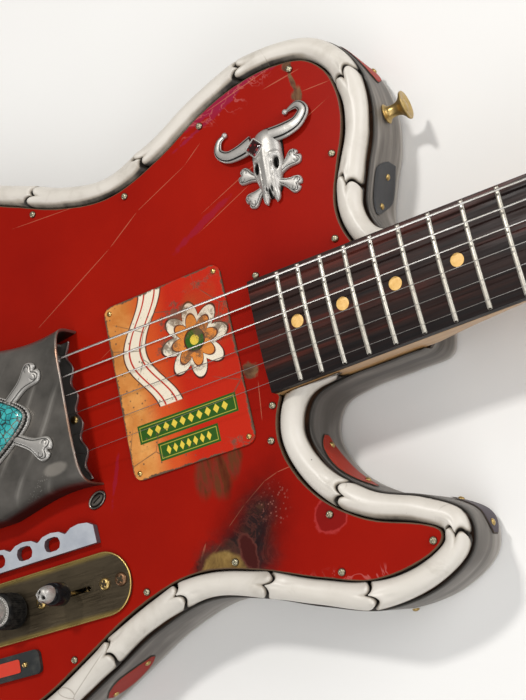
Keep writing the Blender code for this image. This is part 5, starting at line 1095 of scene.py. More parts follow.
def skull(material):
    """Horned skull over crossed bones: lofts of ellipses with carved sockets, tapering horns and four bone
    ends.

    The skull is a grid along its height: each row is a half ellipse of its own width and rise, from which
    hollow bells are pressed for the eyes and the nose, and ridges for the brows, teeth lines and cheeks.
    """
    shape = Shape()
    rings = np.array([(102.3, 0.3, 0.3), (101.6, 2.8, 2.0), (100.2, 5.4, 3.6), (97.8, 7.2, 4.6),
                      (94.5, 7.9, 5.2), (90, 8.3, 5.4), (85.6, 8.4, 5.2), (81.1, 8.6, 4.8), (77.8, 7.6, 4.6),
                      (74.4, 6.4, 4.4), (71.1, 5.4, 4.0), (69.0, 4.8, 3.4), (67.4, 3.9, 2.4),
                      (66.6, 2.4, 1.4), (66.2, 0.3, 0.3)])
    fine = spline(rings, 7)
    columns = 49
    turn = np.linspace(-0.10, math.pi + 0.10, columns)
    rows = []
    wear_and_shade = []
    for y, half, height in fine:
        x = 198.5 + 0.11 * (y - 83)
        u = half * np.cos(turn)
        z = 0.6 + height * np.sin(turn)
        dark = np.zeros(columns)

        def press(cu, cy, ru, ry, depth, u=u, y=y):
            """Flat-topped bell of a depth round a place of the face."""
            return depth * np.exp(-(((u - cu) / ru) ** 2 + ((y - cy) / ry) ** 2) ** 1.5)
        for side in (-1, 1):
            eye = press(side * 5.5, 82.6 - side * .3, 1.3, 2.7, 3.6)
            z = z - eye
            dark += eye / 2.0
            z = z + press(side * 5.0, 87.0, 3.0, 1.2, .7) + press(side * 7.0, 81.0, 1.2, 4.4, .5)
            line = press(side * 2.9, 79.0, .36, 7.5, .40)
            z = z - line
            dark += line * .8
            nose = press(side * 1.5, 70.3, .6, 1.9, 1.1)
            z = z - nose
            dark += nose * .9
            cheek = press(side * 5.0, 75.2, .8, 2.6, .5)
            z = z - cheek
            dark += cheek * .6
        seam = press(0, 67.0, .75, 3.6, 2.4)
        z = z - seam + press(0, 84.0, 1.2, 9.0, .5)
        dark += seam * .8
        temple = press(-6.6, 97.0, 1.6, 2.4, 1.0) + press(6.6, 97.0, 1.6, 2.4, 1.0)
        dark += .5 * temple
        z = np.maximum(z, .32)
        low = np.clip((1.6 - z) / 1.4, 0, 1) * .6
        rows.append(np.stack([(x + u) * MM, np.full(columns, y * MM), SEAT + z * MM], 1))
        wear_and_shade.append(dark + low)
    shape.add(rows, wrap_columns=False, caps=False, value=wear_and_shade)
    for side in (-1, 1):
        prong = [(197.2 + side * 2.7, 70.4, 1.9, 1.9), (196.9 + side * 3.1, 67.2, 1.75, 1.7),
                 (196.5 + side * 3.0, 65.0, 1.35, 1.4), (196.2 + side * 2.6, 63.6, .2, 1.0)]
        path = spline(np.array(prong), 5)
        centre = np.column_stack([path[:, :2] * MM, SEAT + path[:, 3] * MM])
        shape.add(tube(centre, path[:, 2] * MM, 16, .9), value=.1)
    for horn in HORNS:
        path = spline(np.array(horn), 9)
        count = len(path)
        centre = np.column_stack([path[:, :2] * MM, SEAT + (path[:, 2] * .62 + .4) * MM])
        sides = 44
        grid = tube(centre, path[:, 2] * MM * 1.02, sides, .50)
        angles = np.linspace(0, 2 * math.pi, sides, endpoint=False)
        groove = np.exp(-((np.abs(np.cos(angles)) - .70) / .11) ** 2) * (np.sin(angles) > 0)
        groove = groove[None, :] * np.ones((count, 1))
        rib = np.clip(np.sin(np.linspace(0, 30, count)) - .85, 0, 1)[:, None]
        low = np.clip(.25 - np.sin(angles), 0, 1)[None, :] * .7
        centre_grid = centre[:, None]
        grid = centre_grid + (grid - centre_grid) * (1 - .13 * groove[..., None] - .05 * rib[..., None])
        shape.add(grid, value=groove * 1.2 + low + rib * .5)
        tip = centre[-1]
        shape.add(ball(shift(*tip), (1.5 * MM, 1.5 * MM, 1.4 * MM), 14, 8), value=.1)
    for start, stop in CROSS_BONES:
        middle = (np.array(start) + np.array(stop)) / 2
        for end in (start, stop):
            bone_relief(shape, middle, end, 1.9, 4.5, 2.3, SEAT + .05 * MM)
    plate = np.array([(198.5 + .11 * (y - 83) + side * (half + .5), y) for y, half, side in
                      [(102, 3, 1), (96, 7.6, 1), (87, 8.2, 1), (78, 6.2, 1), (68, 4.2, 1),
                       (67.6, 4.2, -1), (78, 6.2, -1), (87, 8.2, -1), (96, 7.6, -1), (102, 3, -1)]])
    outline = spline(plate[::-1] * MM, 6, closed=True)
    shape.add(pillow(outline, SEAT, mm((0, .02), (0, .9), (.4, 1.2), (3, 1.25))), value=1.0)
    return shape.piece("carved_skull", material, replaces=("skull_plaque",), angle=50)


def garnet():
    """Square dark red stone with cut corners, standing on the skull's brow inside a raised rim."""
    f = Finish("garnet", (0.06, 0.001, 0.002), 0.10, 0.0, Coat_Weight=0.5, Coat_Roughness=0.05)
    glow = f.cells(420.0, "F1")
    f.use(Base_Color=f.ramp(glow, [(0.1, (0.22, 0.004, 0.006)), (0.4, (0.018, 0.001, 0.001))]))
    turn = Matrix.Rotation(math.radians(38), 4, "Z")
    place = shift(195.2 * MM, 92.9 * MM, SEAT) @ turn
    shape = Shape()
    rim = Shape()

    def square(half, level, corner):
        """Square of a half size on a level, its corners rounded."""
        points = []
        for cx, cy, start in ((1, 1, 0), (-1, 1, 90), (-1, -1, 180), (1, -1, 270)):
            for k in range(3):
                angle = math.radians(start + 45 * k)
                points.append((cx * (half - corner) + corner * math.cos(angle),
                               cy * (half - corner) + corner * math.sin(angle), level))
        return points
    rows = [square(h * MM, z * MM, c * MM) for h, z, c in
            ((3.3, 5.0, .5), (3.3, 6.1, .5), (2.8, 6.6, .5), (1.8, 6.9, .4), (.2, 6.92, .05))]
    shape.add(placed(np.array(rows), place))
    shape.piece("brow_stone", f.material, angle=12)
    rows = [square(h * MM, z * MM, c * MM) for h, z, c in
            ((4.1, 3.4, .9), (4.1, 5.7, .9), (3.9, 6.2, .8), (3.6, 6.3, .7), (3.35, 6.1, .6), (3.3, 5.0, .6))]
    rim.add(placed(np.array(rows), place), caps=False)
    return rim


def badge_outline(count=180):
    """Rounded-triangle outline of the stone, its blunt point towards the neck."""
    angles = np.linspace(0, 2 * math.pi, count, endpoint=False)
    middle = (STONE_POINT - STONE_SIZE * (1 + STONE_BLUNT)) * MM
    size = STONE_SIZE * MM
    return np.column_stack([middle + size * np.cos(angles) + STONE_BLUNT * size * np.cos(2 * angles),
                            size * np.sin(angles) - STONE_BLUNT * size * np.sin(2 * angles)])


def stone():
    """Low dome over the stone outline: copies of it drawn to its middle, each on its own level."""
    outline = badge_outline()
    levels = [(0.15, 0.3), (0.15, 3.3), (0.35, 4.1), (1.0, 4.75), (2.6, 5.3), (5.5, 5.72), (9.5, 5.93),
              (13.5, 6.0)]
    centre = outline.mean(0)
    rows = []
    for inset, rise in levels:
        scale = 1 - inset / STONE_SIZE
        flat = centre + (outline - centre) * scale
        rows.append(np.column_stack([flat, np.full(len(flat), DECK + rise * MM)]))
    return Shape().add(rows).piece("web_turquoise", turquoise_finish(), replaces=("turquoise_stone",),
                                   angle=60)


def bezel(material):
    """Rim round the stone: an upright inner wall with a saw-cut lip, a rope of beads and half bones with
    engraving."""
    shape = Shape()
    outline = badge_outline(240)
    out = outward(outline)
    phase = np.arange(240)
    teeth = .22 * MM * np.where(phase % 4 < 2, 1, -1)
    profile = [(0.35, 0.1), (0.35, 3.7), (0.62, 4.15), (1.0, 4.1), (1.2, 3.4), (1.25, 2.2), (1.6, 1.7),
               (2.1, 1.45), (2.35, 0.9), (2.4, 0.05)]
    rows = []
    wear_and_shade = []
    for reach, rise in profile:
        cut = teeth if 3.3 < rise < 4.12 else 0
        flat = outline + out * (reach * MM)
        rows.append(np.column_stack([flat, np.full(240, DECK + rise * MM) + cut]))
        # Darker on the outer wall under the lip.
        under_lip_dark = np.full(240, .9 if 1.5 < rise < 3.3 else .05)
        wear_and_shade.append(under_lip_dark + np.where(phase % 4 < 2, 0, .5) * (rise > 3.3))
    shape.add(rows, caps=False, value=wear_and_shade)
    length = np.concatenate([[0], np.cumsum(np.linalg.norm(np.roll(outline, -1, 0) - outline, axis=1))])
    closed = np.vstack([outline, outline[:1]])
    normals = np.vstack([out, out[:1]])
    beads = 92
    for k in range(beads):
        at = length[-1] * k / beads
        spot = np.array([np.interp(at, length, closed[:, j]) for j in (0, 1)])
        normal = np.array([np.interp(at, length, normals[:, j]) for j in (0, 1)])
        spot = spot + normal * 1.75 * MM
        shape.add(dome(spot[0], spot[1], DECK + 1.3 * MM, .56 * MM, .55 * MM, 8), value=.05)
    for end in COVER_BONES:
        bone_relief(shape, COVER_BONE_START, end, 3.1, 6.5, 2.3, DECK + .05 * MM)
    return shape.piece("engraved_bezel", material, replaces=("stone_bezel",), angle=50)


def small_skull(shape, x, y, base, width, height, turn=0.0):
    """Skull head of a knob: an ovoid dome with eye, nose and jaw hollows, facing out and towards the tail."""
    columns = 44
    around = np.linspace(0, 2 * math.pi, columns, endpoint=False)
    rows = []
    wear_and_shade = []
    for a in np.linspace(0, math.pi / 2, 26):
        radius = width * math.cos(a) ** .62
        z = height * math.sin(a)
        px = radius * np.cos(around)
        py = radius * .86 * np.sin(around)
        rise = np.full(columns, z)
        dark = np.zeros(columns)

        def bell(cx, cy, rx, ry, px=px, py=py):
            """Flat-topped bell round a place, all in shares of the width."""
            return np.exp(-(((px - cx * width) / (rx * width)) ** 2
                            + ((py - cy * width) / (ry * width)) ** 2) ** 1.4)
        upper = min(1.0, z / (height * .45))
        for side in (-1, 1):
            eye = bell(-.02, side * .36, .20, .20)
            rise = rise - eye * height * .42 * upper
            dark += eye * 1.1
            cheek = bell(-.42, side * .44, .16, .14)
            rise = rise + cheek * height * .07
            jaw = bell(-.58, side * .55, .20, .12)
            dark += jaw * .8
            rise = rise - jaw * height * .25
        nose = bell(-.34, 0, .13, .10)
        rise = rise - nose * height * .3 * upper
        dark += nose
        for k in (-2, -1, 0, 1, 2):
            tooth = bell(-.70, k * .13, .17, .025)
            rise = rise - tooth * height * .16
            dark += tooth * .7
        mouth = bell(-.66, 0, .028, .42)
        rise = rise - mouth * height * .15
        dark += mouth * .7
        crack = bell(.45, .05, .03, .3)
        dark += crack * .3
        rise = np.maximum(rise, 0)
        c, s = math.cos(turn), math.sin(turn)
        rows.append(np.column_stack([x + c * px - s * py, y + s * px + c * py, base + rise]))
        wear_and_shade.append(dark + np.clip(.3 - rise / height, 0, .3))
    shape.add(rows, value=wear_and_shade)


# Rings of a knob's grip: radius, level, and one where the flutes are cut
GRIP_RINGS = [(3.3, 0.2, 0), (9.1, 0.2, 0), (9.45, 0.6, 0), (9.5, 1.4, 0), (9.5, 1.8, 1), (9.4, 11.2, 1),
              (9.35, 11.6, 0), (9.3, 12.2, 0), (9.0, 12.8, 0), (8.5, 13.0, 0), (7.6, 13.05, 0),
              (3.0, 13.05, 0)]


def knobs(silver, black):
    """Two knobs: a turned grip whose wall is fluted by every third point, and a beaded skull cap."""
    y = PLATE_Y
    for body, x in KNOB_X.items():
        sides = 144
        around = np.linspace(0, 2 * math.pi, sides, endpoint=False)
        grip = np.where(np.arange(sides) % 3 == 0, -.28 * MM, 0.06 * MM)
        rows = []
        for radius, rise, cut in GRIP_RINGS:
            reach = radius * MM + cut * grip
            rows.append(np.column_stack([x * MM + reach * np.cos(around), y * MM + reach * np.sin(around),
                                         np.full(sides, KNOB_FOOT + rise * MM)]))
        Shape().add(rows, caps=False).piece(body + "_grip", black, body, replaces=(body,), angle=25)
        cap = Shape()
        cap.add(lathe(mm((8.0, 0), (8.1, 0.5), (7.7, 0.95), (6.6, 1.0), (6.3, 0.8), (0.5, 0.8)), 48,
                      shift(x * MM, y * MM, KNOB_FOOT + 13.0 * MM)), value=0.35)
        for k in range(34):
            angle = 2 * math.pi * k / 34
            cap.add(dome(x * MM + 7.3 * MM * math.cos(angle), y * MM + 7.3 * MM * math.sin(angle),
                         KNOB_FOOT + 13.9 * MM, .62 * MM, .5 * MM, 8), value=.05)
        small_skull(cap, x * MM, y * MM, KNOB_FOOT + 13.8 * MM, 6.5 * MM, 8.0 * MM, 0.15)
        cap.piece(body + "_skull", silver, body)


def lever(silver, black, brass):
    """Switch lever: a flat brass blade, a barrel tip with a light ring and a small skull on its crest."""
    x, y = SWITCH_X, PLATE_Y
    blade = Shape()
    outline = stadium(x * MM, y * MM, 4.4 * MM, 1.4 * MM, 5)
    blade.add(pillow(outline, 0, mm((0, 36.5), (0, 56.0), (.2, 56.3))))
    for side in (-1, 1):
        blade.add(tube([(x * MM, y * MM + side * d * MM, 33.5 * MM) for d in (0.2, 0.6, 1.0)], 3.4 * MM, 20,
                       1.0, up=(0, 0, 1)))
    blade.piece("lever_blade", brass, "switch_lever", replaces=("switch_lever",), angle=40)
    tip = Shape()
    profile = [(0.5, 0), (4.9, 0), (5.7, 0.5), (6.0, 1.3), (6.0, 3.2), (5.8, 9.0), (5.3, 10.6), (4.4, 11.4),
               (0.5, 11.4)]
    tip.add(lathe(mm(*profile), 48, shift(x * MM, y * MM, 54.6 * MM)))
    tip.piece("lever_barrel", black, "switch_lever", angle=35)
    head = Shape()
    head.add(lathe(mm((5.2, 0), (5.86, 0.1), (5.95, 0.5), (5.86, 0.9), (5.2, 1.0)), 48,
                   shift(x * MM, y * MM, 56.4 * MM)), caps=False, value=0.15)
    small_skull(head, x * MM, y * MM, 65.9 * MM, 4.9 * MM, 6.5 * MM, 0.5)
    head.piece("lever_skull", silver, "switch_lever")


def strap_buttons(brass):
    """Turned strap buttons, one at the upper horn and one at the tail, set on the CAD ones."""
    for name, way in (("strap_button_neck", (1, .03, 0)), ("strap_button_tail", (-1, 0, 0))):
        way = Vector(way).normalized()
        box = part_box(name)
        low, high = np.array(box[0]), np.array(box[1])
        reach = 12.0 * MM
        corner = high[0] if way[0] > 0 else low[0]
        root = corner - reach * way[0] if way[0] > 0 else corner + reach
        place = aimed((root, (low[1] + high[1]) / 2, (low[2] + high[2]) / 2), way)
        profile = [(0.4, 0.1), (4.9, 0.1), (5.1, 0.7), (4.4, 1.3), (3.6, 1.8), (3.15, 3.0), (3.05, 5.0),
                   (3.25, 6.6), (4.1, 8.2), (5.6, 9.6), (6.9, 10.3), (7.35, 10.9), (7.35, 11.4), (6.9, 11.75),
                   (5.9, 11.6), (4.2, 11.0), (3.3, 10.8), (3.1, 11.0), (2.2, 11.5), (0.4, 11.6)]
        Shape().add(lathe(mm(*profile), 44, place)).piece(name + "_turned", brass, replaces=(name,))


ARCH_POINTS = 73


def cover_arch(x, reach, wall):
    """One arch of the bridge cover: a squarish superellipse from foot to foot, set in by the wall.

    Towards the neck its half width eases to the mouth's and is pinched between by half a sine wave; towards
    the tail both half width and height fall by the given reach, which is one where the arch is full.
    """
    half = COVER_HALF
    if x > COVER_WAIST:
        share = min((x - COVER_WAIST) / (COVER_MOUTH - COVER_WAIST), 1)
        half -= COVER_MOUTH_IN * share * share * (3 - 2 * share) + COVER_PINCH * math.sin(math.pi * share)
    half = max(half * reach - wall, .05)
    height = max(COVER_HEIGHT * reach - wall, .05)
    angle = np.linspace(0, math.pi, ARCH_POINTS)
    angle = angle + .12 * np.sin(4 * angle)
    c = np.cos(angle)
    s = np.clip(np.sin(angle), 0, 1)
    return np.column_stack([np.full(len(angle), x), half * np.sign(c) * np.abs(c) ** .4, height * s ** .4])


def cover(material):
    """Sheet cover over the bridge: outer skin from tail to mouth, a rolled lip, and the inner skin back
    again."""
    rows = []
    wear_and_shade = []
    tail = [(COVER_FULL - COVER_TAIL * math.sin(a), math.cos(a) ** 0.4)
            for a in np.linspace(math.pi / 2 - 0.002, 0, 26)]
    body = [(x, 1.0) for x in np.linspace(COVER_FULL, COVER_MOUTH - .6, 60)[1:]]
    for x, reach in tail + body:
        rows.append(cover_arch(x, reach, 0))
        wear_and_shade.append(np.full(ARCH_POINTS, .80 * math.exp(-(COVER_MOUTH - .2 - x) ** 2)))
    for past, wall in ((0, .05), (.45, .5), (.2, 1.0), (-.6, COVER_WALL)):
        rows.append(cover_arch(COVER_MOUTH + min(past, 0), 1.0, wall) + np.array([max(past, 0), 0, 0]))
        wear_and_shade.append(np.full(ARCH_POINTS, 1.0))
    for x, reach in (body[::-3] + tail[::-2]):
        rows.append(cover_arch(x, reach, COVER_WALL))
        wear_and_shade.append(np.full(ARCH_POINTS, -1.0))
    grid = np.array(rows) * MM + np.array([0, 0, SEAT])
    grid[..., 2] = np.maximum(grid[..., 2], SEAT + .02 * MM)
    x, y = grid[..., 0], grid[..., 1]
    hammered = .00012 * np.sin(x * 210 + 4 * np.sin(y * 90)) * np.sin(y * 160)
    grid[..., 2] += np.where(grid[..., 2] > SEAT + 12 * MM, hammered, 0)
    return Shape().add(grid, wrap_columns=False, caps=False, value=wear_and_shade).piece(
        "sheet_cover", material, replaces=("bridge_cover",), angle=70)


# Painted top, tin, nails and plates

NAIL_RINGS = [(1.85, -.1), (1.87, .30), (1.78, .75), (1.60, 1.10), (1.32, 1.36), (1.02, 1.50), (.78, 1.56),
              (.55, 1.58), (.35, 1.6), (.17, 1.6), (.02, 1.6)]


def nails():
    """Round nail heads with a cross pressed in the middle, darker in the cross and round the rim where they
    meet the top.
    """
    shape = Shape()
    columns = 24
    turn = np.linspace(0, 2 * math.pi, columns, endpoint=False)
    for number, (x, y) in enumerate(NAILS):
        rows = []
        wear_and_shade = []
        spin = number * 1.7
        for radius, rise in NAIL_RINGS:
            ca = np.abs(radius * np.cos(turn + spin))
            cb = np.abs(radius * np.sin(turn + spin))
            cross = 1.0 * ((np.minimum(ca, cb) < .20) & (np.maximum(ca, cb) < .95) & (radius < 1.0))
            rows.append(np.column_stack([x * MM + radius * MM * np.cos(turn),
                                         y * MM + radius * MM * np.sin(turn),
                                         TOP + (rise - 0.12 * cross) * MM]))
            wear_and_shade.append(cross * .35 + (.9 if rise < .5 else 0))
        shape.add(rows, value=wear_and_shade)
    finish = metal_finish("nail_metal", (0.36, 0.335, 0.235), (0.13, 0.11, 0.075), 0.36, 300.0)
    return shape.piece("round_nails", finish, angle=45)


def patches():
    """Tin patches bent round the side, each a strip between two level curves, with a dark rolled rim and
    tacks."""
    at = walker(SIDE, SIDE_OUT)
    finishes = {"patch_dark": tin_finish("patch_dark_tin", (0.022, 0.024, 0.028), (0.075, 0.075, 0.08),
                                         (20, 20, 20), 0.5, 0.4),
                "patch_shoulder": chipped_paint("patch_shoulder_red", (0.38, 0.022, 0.01)),
                "patch_cutaway": chipped_paint("patch_cutaway_red", (0.4, 0.028, 0.01)),
                "patch_horn": chipped_paint("patch_horn_violet", (0.085, 0.07, 0.085)),
                "patch_bout": chipped_paint("patch_bout_red", (0.3, 0.02, 0.012))}
    tacks = Shape()
    for name, marks in SIDE_PATCHES.items():
        marks = np.array(marks, float)
        fine = spline(marks, 8)
        columns = np.linspace(0, 1, 15)
        shape = Shape()
        rows = []
        wear_and_shade = []
        for distance, low, high in fine:
            level = low + (high - low) * columns
            edge = np.minimum(np.minimum(columns, 1 - columns) * (high - low),
                              min(distance - fine[0, 0], fine[-1, 0] - distance) + .05)
            rise = PATCH_RISE * np.clip(edge / .5, .25, 1) ** .5
            spot, normal = at(distance * MM)
            flat = spot[None] + normal[None] * rise[:, None] * MM
            rows.append(np.column_stack([flat, level * MM]))
            wear_and_shade.append(np.clip(1 - edge / 1.1, 0, 1) * 1.2)
        shape.add(rows, wrap_columns=False, caps=False, value=wear_and_shade)
        shape.piece(name, finishes[name], angle=60)
    for distance, level in SIDE_TACKS:
        spot, normal = at(distance * MM)
        place = aimed((spot[0] + normal[0] * 0.6 * MM, spot[1] + normal[1] * 0.6 * MM, level * MM),
                      (*normal, 0))
        profile = [(1.75, -.2), (1.75, .1), (1.55, .55), (1.1, .95), (.6, 1.1), (.02, 1.15)]
        tacks.add(lathe(mm(*profile), 18, place))
    return tacks


def chipped_paint(name, colour):
    """Printed tin scrap: flat colour, rubbed to brown metal at the rim."""
    f = Finish(name, colour, 0.42, 0.0, Specular_IOR_Level=0.07)
    edge = f.wear_and_shade() + f.jitter(0.9, 180.0, 5.0, 0.7)
    shade = f.mix(f.ramp(f.noise(60.0), [(0.35, 0.0), (0.7, 0.6)]), colour, tuple(0.55 * c for c in colour))
    shade = f.mix(f.step(edge, 0.35, 0.65), shade, (0.05, 0.035, 0.025))
    f.use(Base_Color=shade)
    return f.bump(f.noise(90.0), 0.15, 0.0003).material


def frets_and_dots():
    """Fret wires with rounded ends over the board's round top, and clay dots let into it."""
    wire = metal_finish("fret_wire", (0.54, 0.51, 0.45), (0.34, 0.31, 0.25), 0.42, 60.0, hollow=False,
                        grit=0.01)
    shape = Shape()
    for number in range(1, FRETS + 1):
        x = SCALE * 2 ** (-number / 12)
        half = neck_half(x) - .4 * MM
        across = np.concatenate([np.linspace(-1, -.955, 6)[:-1], np.linspace(-.955, .955, 25)[:-1],
                                 np.linspace(.955, 1, 6)])
        angle = np.linspace(0, math.pi, 13)
        rows = []
        for v in across:
            y = half * v
            close = max(0.02, 1 - max(0.0, (abs(v) * half - (half - 1.1 * MM)) / (1.1 * MM)) ** 2) ** .5
            z = BOARD_TOP - y * y / (2 * BOARD_RADIUS)
            width = 1.22 * MM * (.55 + .45 * close)
            rise = 1.12 * MM * close
            c, s = np.cos(angle), np.sin(angle)
            rows.append(np.column_stack([x + width * np.sign(c) * np.abs(c) ** .8, np.full(13, y),
                                         z - .05 * MM + rise * np.abs(s) ** .85]))
        shape.add(rows, wrap_columns=False, caps=False)
    shape.piece("fret_wires", wire, angle=60)
    clay = Finish("clay_dots", (0.76, 0.45, 0.13), 0.5)
    tone = clay.noise(500.0, 4.0)
    clay.use(Base_Color=clay.ramp(tone, [(0.35, (0.68, 0.39, 0.10)), (0.7, (0.82, 0.52, 0.18))]))
    dots = Shape()
    for fret in DOT_FRETS:
        x = SCALE * (2 ** (-fret / 12) + 2 ** (-(fret - 1) / 12)) / 2
        for y in ((-11.5, 11.5) if fret == 12 else (0,)):
            y *= MM
            grid = lathe(mm((3.2, -.4), (3.2, .05), (3.1, .10), (1.6, .11), (.02, .11)), 32)
            grid = grid + np.array([x, y, 0])
            grid[..., 2] += BOARD_TOP - grid[..., 1] ** 2 / (2 * BOARD_RADIUS)
            dots.add(grid)
    dots.piece("board_dots", clay.material)


def screw_head(shape, x, y, radius, rise, spin):
    """Round screw head on the control plate, with a cross recess pressed in its crown."""
    columns = 40
    turn = np.linspace(0, 2 * math.pi, columns, endpoint=False)
    rows = []
    wear_and_shade = []
    for a in np.linspace(0, math.pi / 2, 16):
        r = radius * math.cos(a) ** .8 + .01
        ca = np.abs(r * np.cos(turn + spin))
        cb = np.abs(r * np.sin(turn + spin))
        beyond = np.minimum(ca, cb) - .16 * radius
        cross = 1 / (1 + np.exp(beyond / .05)) * (np.maximum(ca, cb) < .62 * radius)
        rows.append(np.column_stack([(x + r * np.cos(turn)) * MM, (y + r * np.sin(turn)) * MM,
                                     PLATE_TOP + (rise * math.sin(a) ** .8 - .45 * cross * rise) * MM]))
        wear_and_shade.append(cross * 1.2 + (.6 if a < .15 else 0))
    shape.add(rows, value=wear_and_shade)


def plate_rim(material):
    """Bright turned-up edge of the control plate, a tube round its stadium outline."""
    outline = stadium(PLATE_X * MM, PLATE_Y * MM, (PLATE_LENGTH - .8) * MM, (PLATE_WIDTH - .8) * MM, 28)
    path = np.column_stack([outline, np.full(len(outline), SEAT + 1.25 * MM)])
    return Shape().add(tube(path, .48 * MM, 10, closed=True), wrap_rows=True).piece("plate_rim", material)


def tray_lip(material):
    """Thin bright bead along the scalloped front edge of the bridge plate."""
    share = np.linspace(0, 1, 161)
    front = TRAY_FRONT + TRAY_SCALLOP * (np.cos(2 * math.pi * TRAY_SCALLOPS * share) - 1)
    path = np.column_stack([front * MM, TRAY_HALF * (2 * share - 1) * MM, np.full(161, SEAT + 1.45 * MM)])
    return Shape().add(tube(path, .42 * MM, 8)).piece("plate_bead", material)


def neck_finish():
    """Aged maple with fine figure; the tuner housings, bushings, string tree and screws read as worn nickel.

    The metal parts are told from the wood by their level: below the head's back, above its face, or in the
    screw cups of the heel.
    """
    f = Finish("aged_maple", (0.50, 0.29, 0.12), 0.36, 0.0, Coat_Weight=0.4, Coat_Roughness=0.22)
    grain = f.noise(55.0, 6.0, 0.6, 1.0, f.stretch(0.05, 1.0, 1.0))
    flame = f.waves(34.0, 3.0, 2.0, "X", None, 0.5)
    colour = f.ramp(grain, [(0.35, (0.40, 0.21, 0.075)), (0.65, (0.58, 0.35, 0.15))])
    colour = f.mix(flame * 0.16, colour, (0.36, 0.18, 0.06))
    grime = f.step(f.noise(12.0, 6.0, 0.65), 0.52, 0.75)
    colour = f.mix(grime * 0.35, colour, (0.2, 0.11, 0.05))
    head = f.step(f.axis("X"), SCALE + 24.0 * MM, SCALE + 24.5 * MM)
    low = f.below(f.axis("Z"), HEAD_BACK - 0.3 * MM, HEAD_BACK - 0.1 * MM)
    high = f.step(f.axis("Z"), HEAD_FACE + 0.08 * MM, HEAD_FACE + 0.22 * MM)
    metal = head * f.most(low, high)
    heel = f.below(f.axis("Z"), 27.0 * MM, 27.3 * MM)
    heel = heel * f.below(f.axis("X"), 400.0 * MM, 401.0 * MM)
    metal = f.most(metal, heel)
    nickel = f.mix(f.ramp(f.noise(220.0, 5.0), [(0.4, 0.0), (0.75, 0.8)]), (0.56, 0.54, 0.5),
                   (0.25, 0.21, 0.15))
    f.use(Base_Color=f.mix(metal, colour, nickel), Metallic=metal,
          Coat_Weight=f.ramp(metal, [(0.0, 0.4), (1.0, 0.0)]))
    return f.bump(grain, 0.05, 0.0002).material


def band_finish():
    """Warm grey painted side band with darker streaks along it, a dark band along its top that is painted
    shadow under the overhanging bones and stain, and a painted highlight along its lower edge.
    """
    f = Finish("side_band_grey", (0.30, 0.27, 0.24), 0.5, 0.35, Specular_IOR_Level=0.3)
    streak = f.noise(26.0, 6.0, 0.6, 0.5, f.stretch(0.4, 0.4, 2.5))
    cloud = f.noise(9.0, 4.0)
    colour = f.ramp(streak, [(0.34, (0.075, 0.065, 0.056)), (0.5, (0.21, 0.19, 0.17)),
                             (0.68, (0.42, 0.39, 0.36))])
    colour = f.mix(f.step(cloud, 0.46, 0.62) * 0.75, colour, (0.075, 0.065, 0.056))
    level = f.axis("Z") + (streak - 0.5) * 0.006
    # Painted shadow under the overhanging bones, with stain: darker along the top of the band.
    dark = f.step(level, 31.5 * MM, 34.0 * MM)
    colour = f.mix(dark * 0.75, colour, (0.05, 0.045, 0.04))
    # Painted highlight: paler along the lower edge.
    edge = f.below(level, 3.0 * MM, 6.5 * MM)
    colour = f.mix(edge * 0.6, colour, (0.62, 0.59, 0.54))
    f.use(Base_Color=colour, Roughness=f.ramp(streak, [(0.3, 0.40), (0.7, 0.58)]))
    return f.bump(streak, 0.12, 0.0003).material


def tray_finish():
    """Dull tin tray whose wall tops are rubbed bright."""
    f = Finish("tray_tin", (0.22, 0.21, 0.195), 0.42, 0.85)
    cloud = f.noise(40.0, 6.0, 0.6)
    # Painted light: the tin's colours are lighter than its own, to make up for the cover's shadow over the
    # tray.
    colour = f.ramp(cloud, [(0.3, (0.22, 0.21, 0.195)), (0.6, (0.38, 0.365, 0.34)),
                            (0.8, (0.48, 0.46, 0.43))])
    rim = f.step(f.axis("Z") + cloud * 0.001, SEAT + 6.2 * MM, SEAT + 7.2 * MM)
    colour = f.mix(rim, colour, (0.62, 0.60, 0.56))
    f.use(Base_Color=colour)
    return f.bump(cloud, 0.15, 0.0003).material


def pickup_finish():
    """Black coil former with bright pole tops, told apart by their level."""
    f = Finish("pickup_black", (0.015, 0.014, 0.013), 0.35)
    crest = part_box("pickup")[1][2]
    pole = f.step(f.axis("Z"), crest - 0.35 * MM, crest - 0.25 * MM)
    coil = f.ramp(f.noise(90.0), [(0.3, (0.010, 0.010, 0.010)), (0.8, (0.035, 0.033, 0.03))])
    f.use(Base_Color=f.mix(pole, coil, (0.45, 0.42, 0.37)), Metallic=pole)
    return f.material


def trim_finish():
    """Cloudy chrome: pale blue-grey on its flat crown, darker down its sides; the pale crown is a painted
    highlight and the dark sides painted shade.
    """
    f = Finish("cloudy_chrome", (0.5, 0.52, 0.56), 0.30, 0.5)
    cloud = f.noise(70.0, 5.0, 0.6)
    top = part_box("chrome_trim")[1][2]
    # Painted highlight on the flat crown, painted shade down the sides.
    crown = f.step(f.axis("Z"), top - 0.35 * MM, top - 0.1 * MM)
    pale = f.ramp(cloud, [(0.35, (0.52, 0.555, 0.62)), (0.65, (0.68, 0.71, 0.76))])
    f.use(Base_Color=f.mix(crown, (0.13, 0.135, 0.15), pale))
    return f.bump(cloud, 0.06, 0.0002).material


def bone_plain():
    """Plain bone of the nut, and of the solids under the dressed bones."""
    f = Finish("plain_bone", (0.78, 0.73, 0.63), 0.35)
    tone = f.noise(60.0, 5.0)
    f.use(Base_Color=f.ramp(tone, [(0.3, (0.66, 0.60, 0.48)), (0.7, (0.82, 0.78, 0.69))]))
    return f.material


def core_finish():
    """Dark stained timber of the body's back, with a worn brown shadow in its grain."""
    return wood_finish("stained_timber", (0.030, 0.014, 0.008), (0.095, 0.042, 0.020), 0.42, "X", 45.0, 0.35)


# Light, camera and floor

CAMERA_PLACE = (0.4372140, -0.1739278, 0.5731762)
CAMERA_TURN = (9.381176, 29.412215, -14.044333)
CAMERA_LENS = 65.55


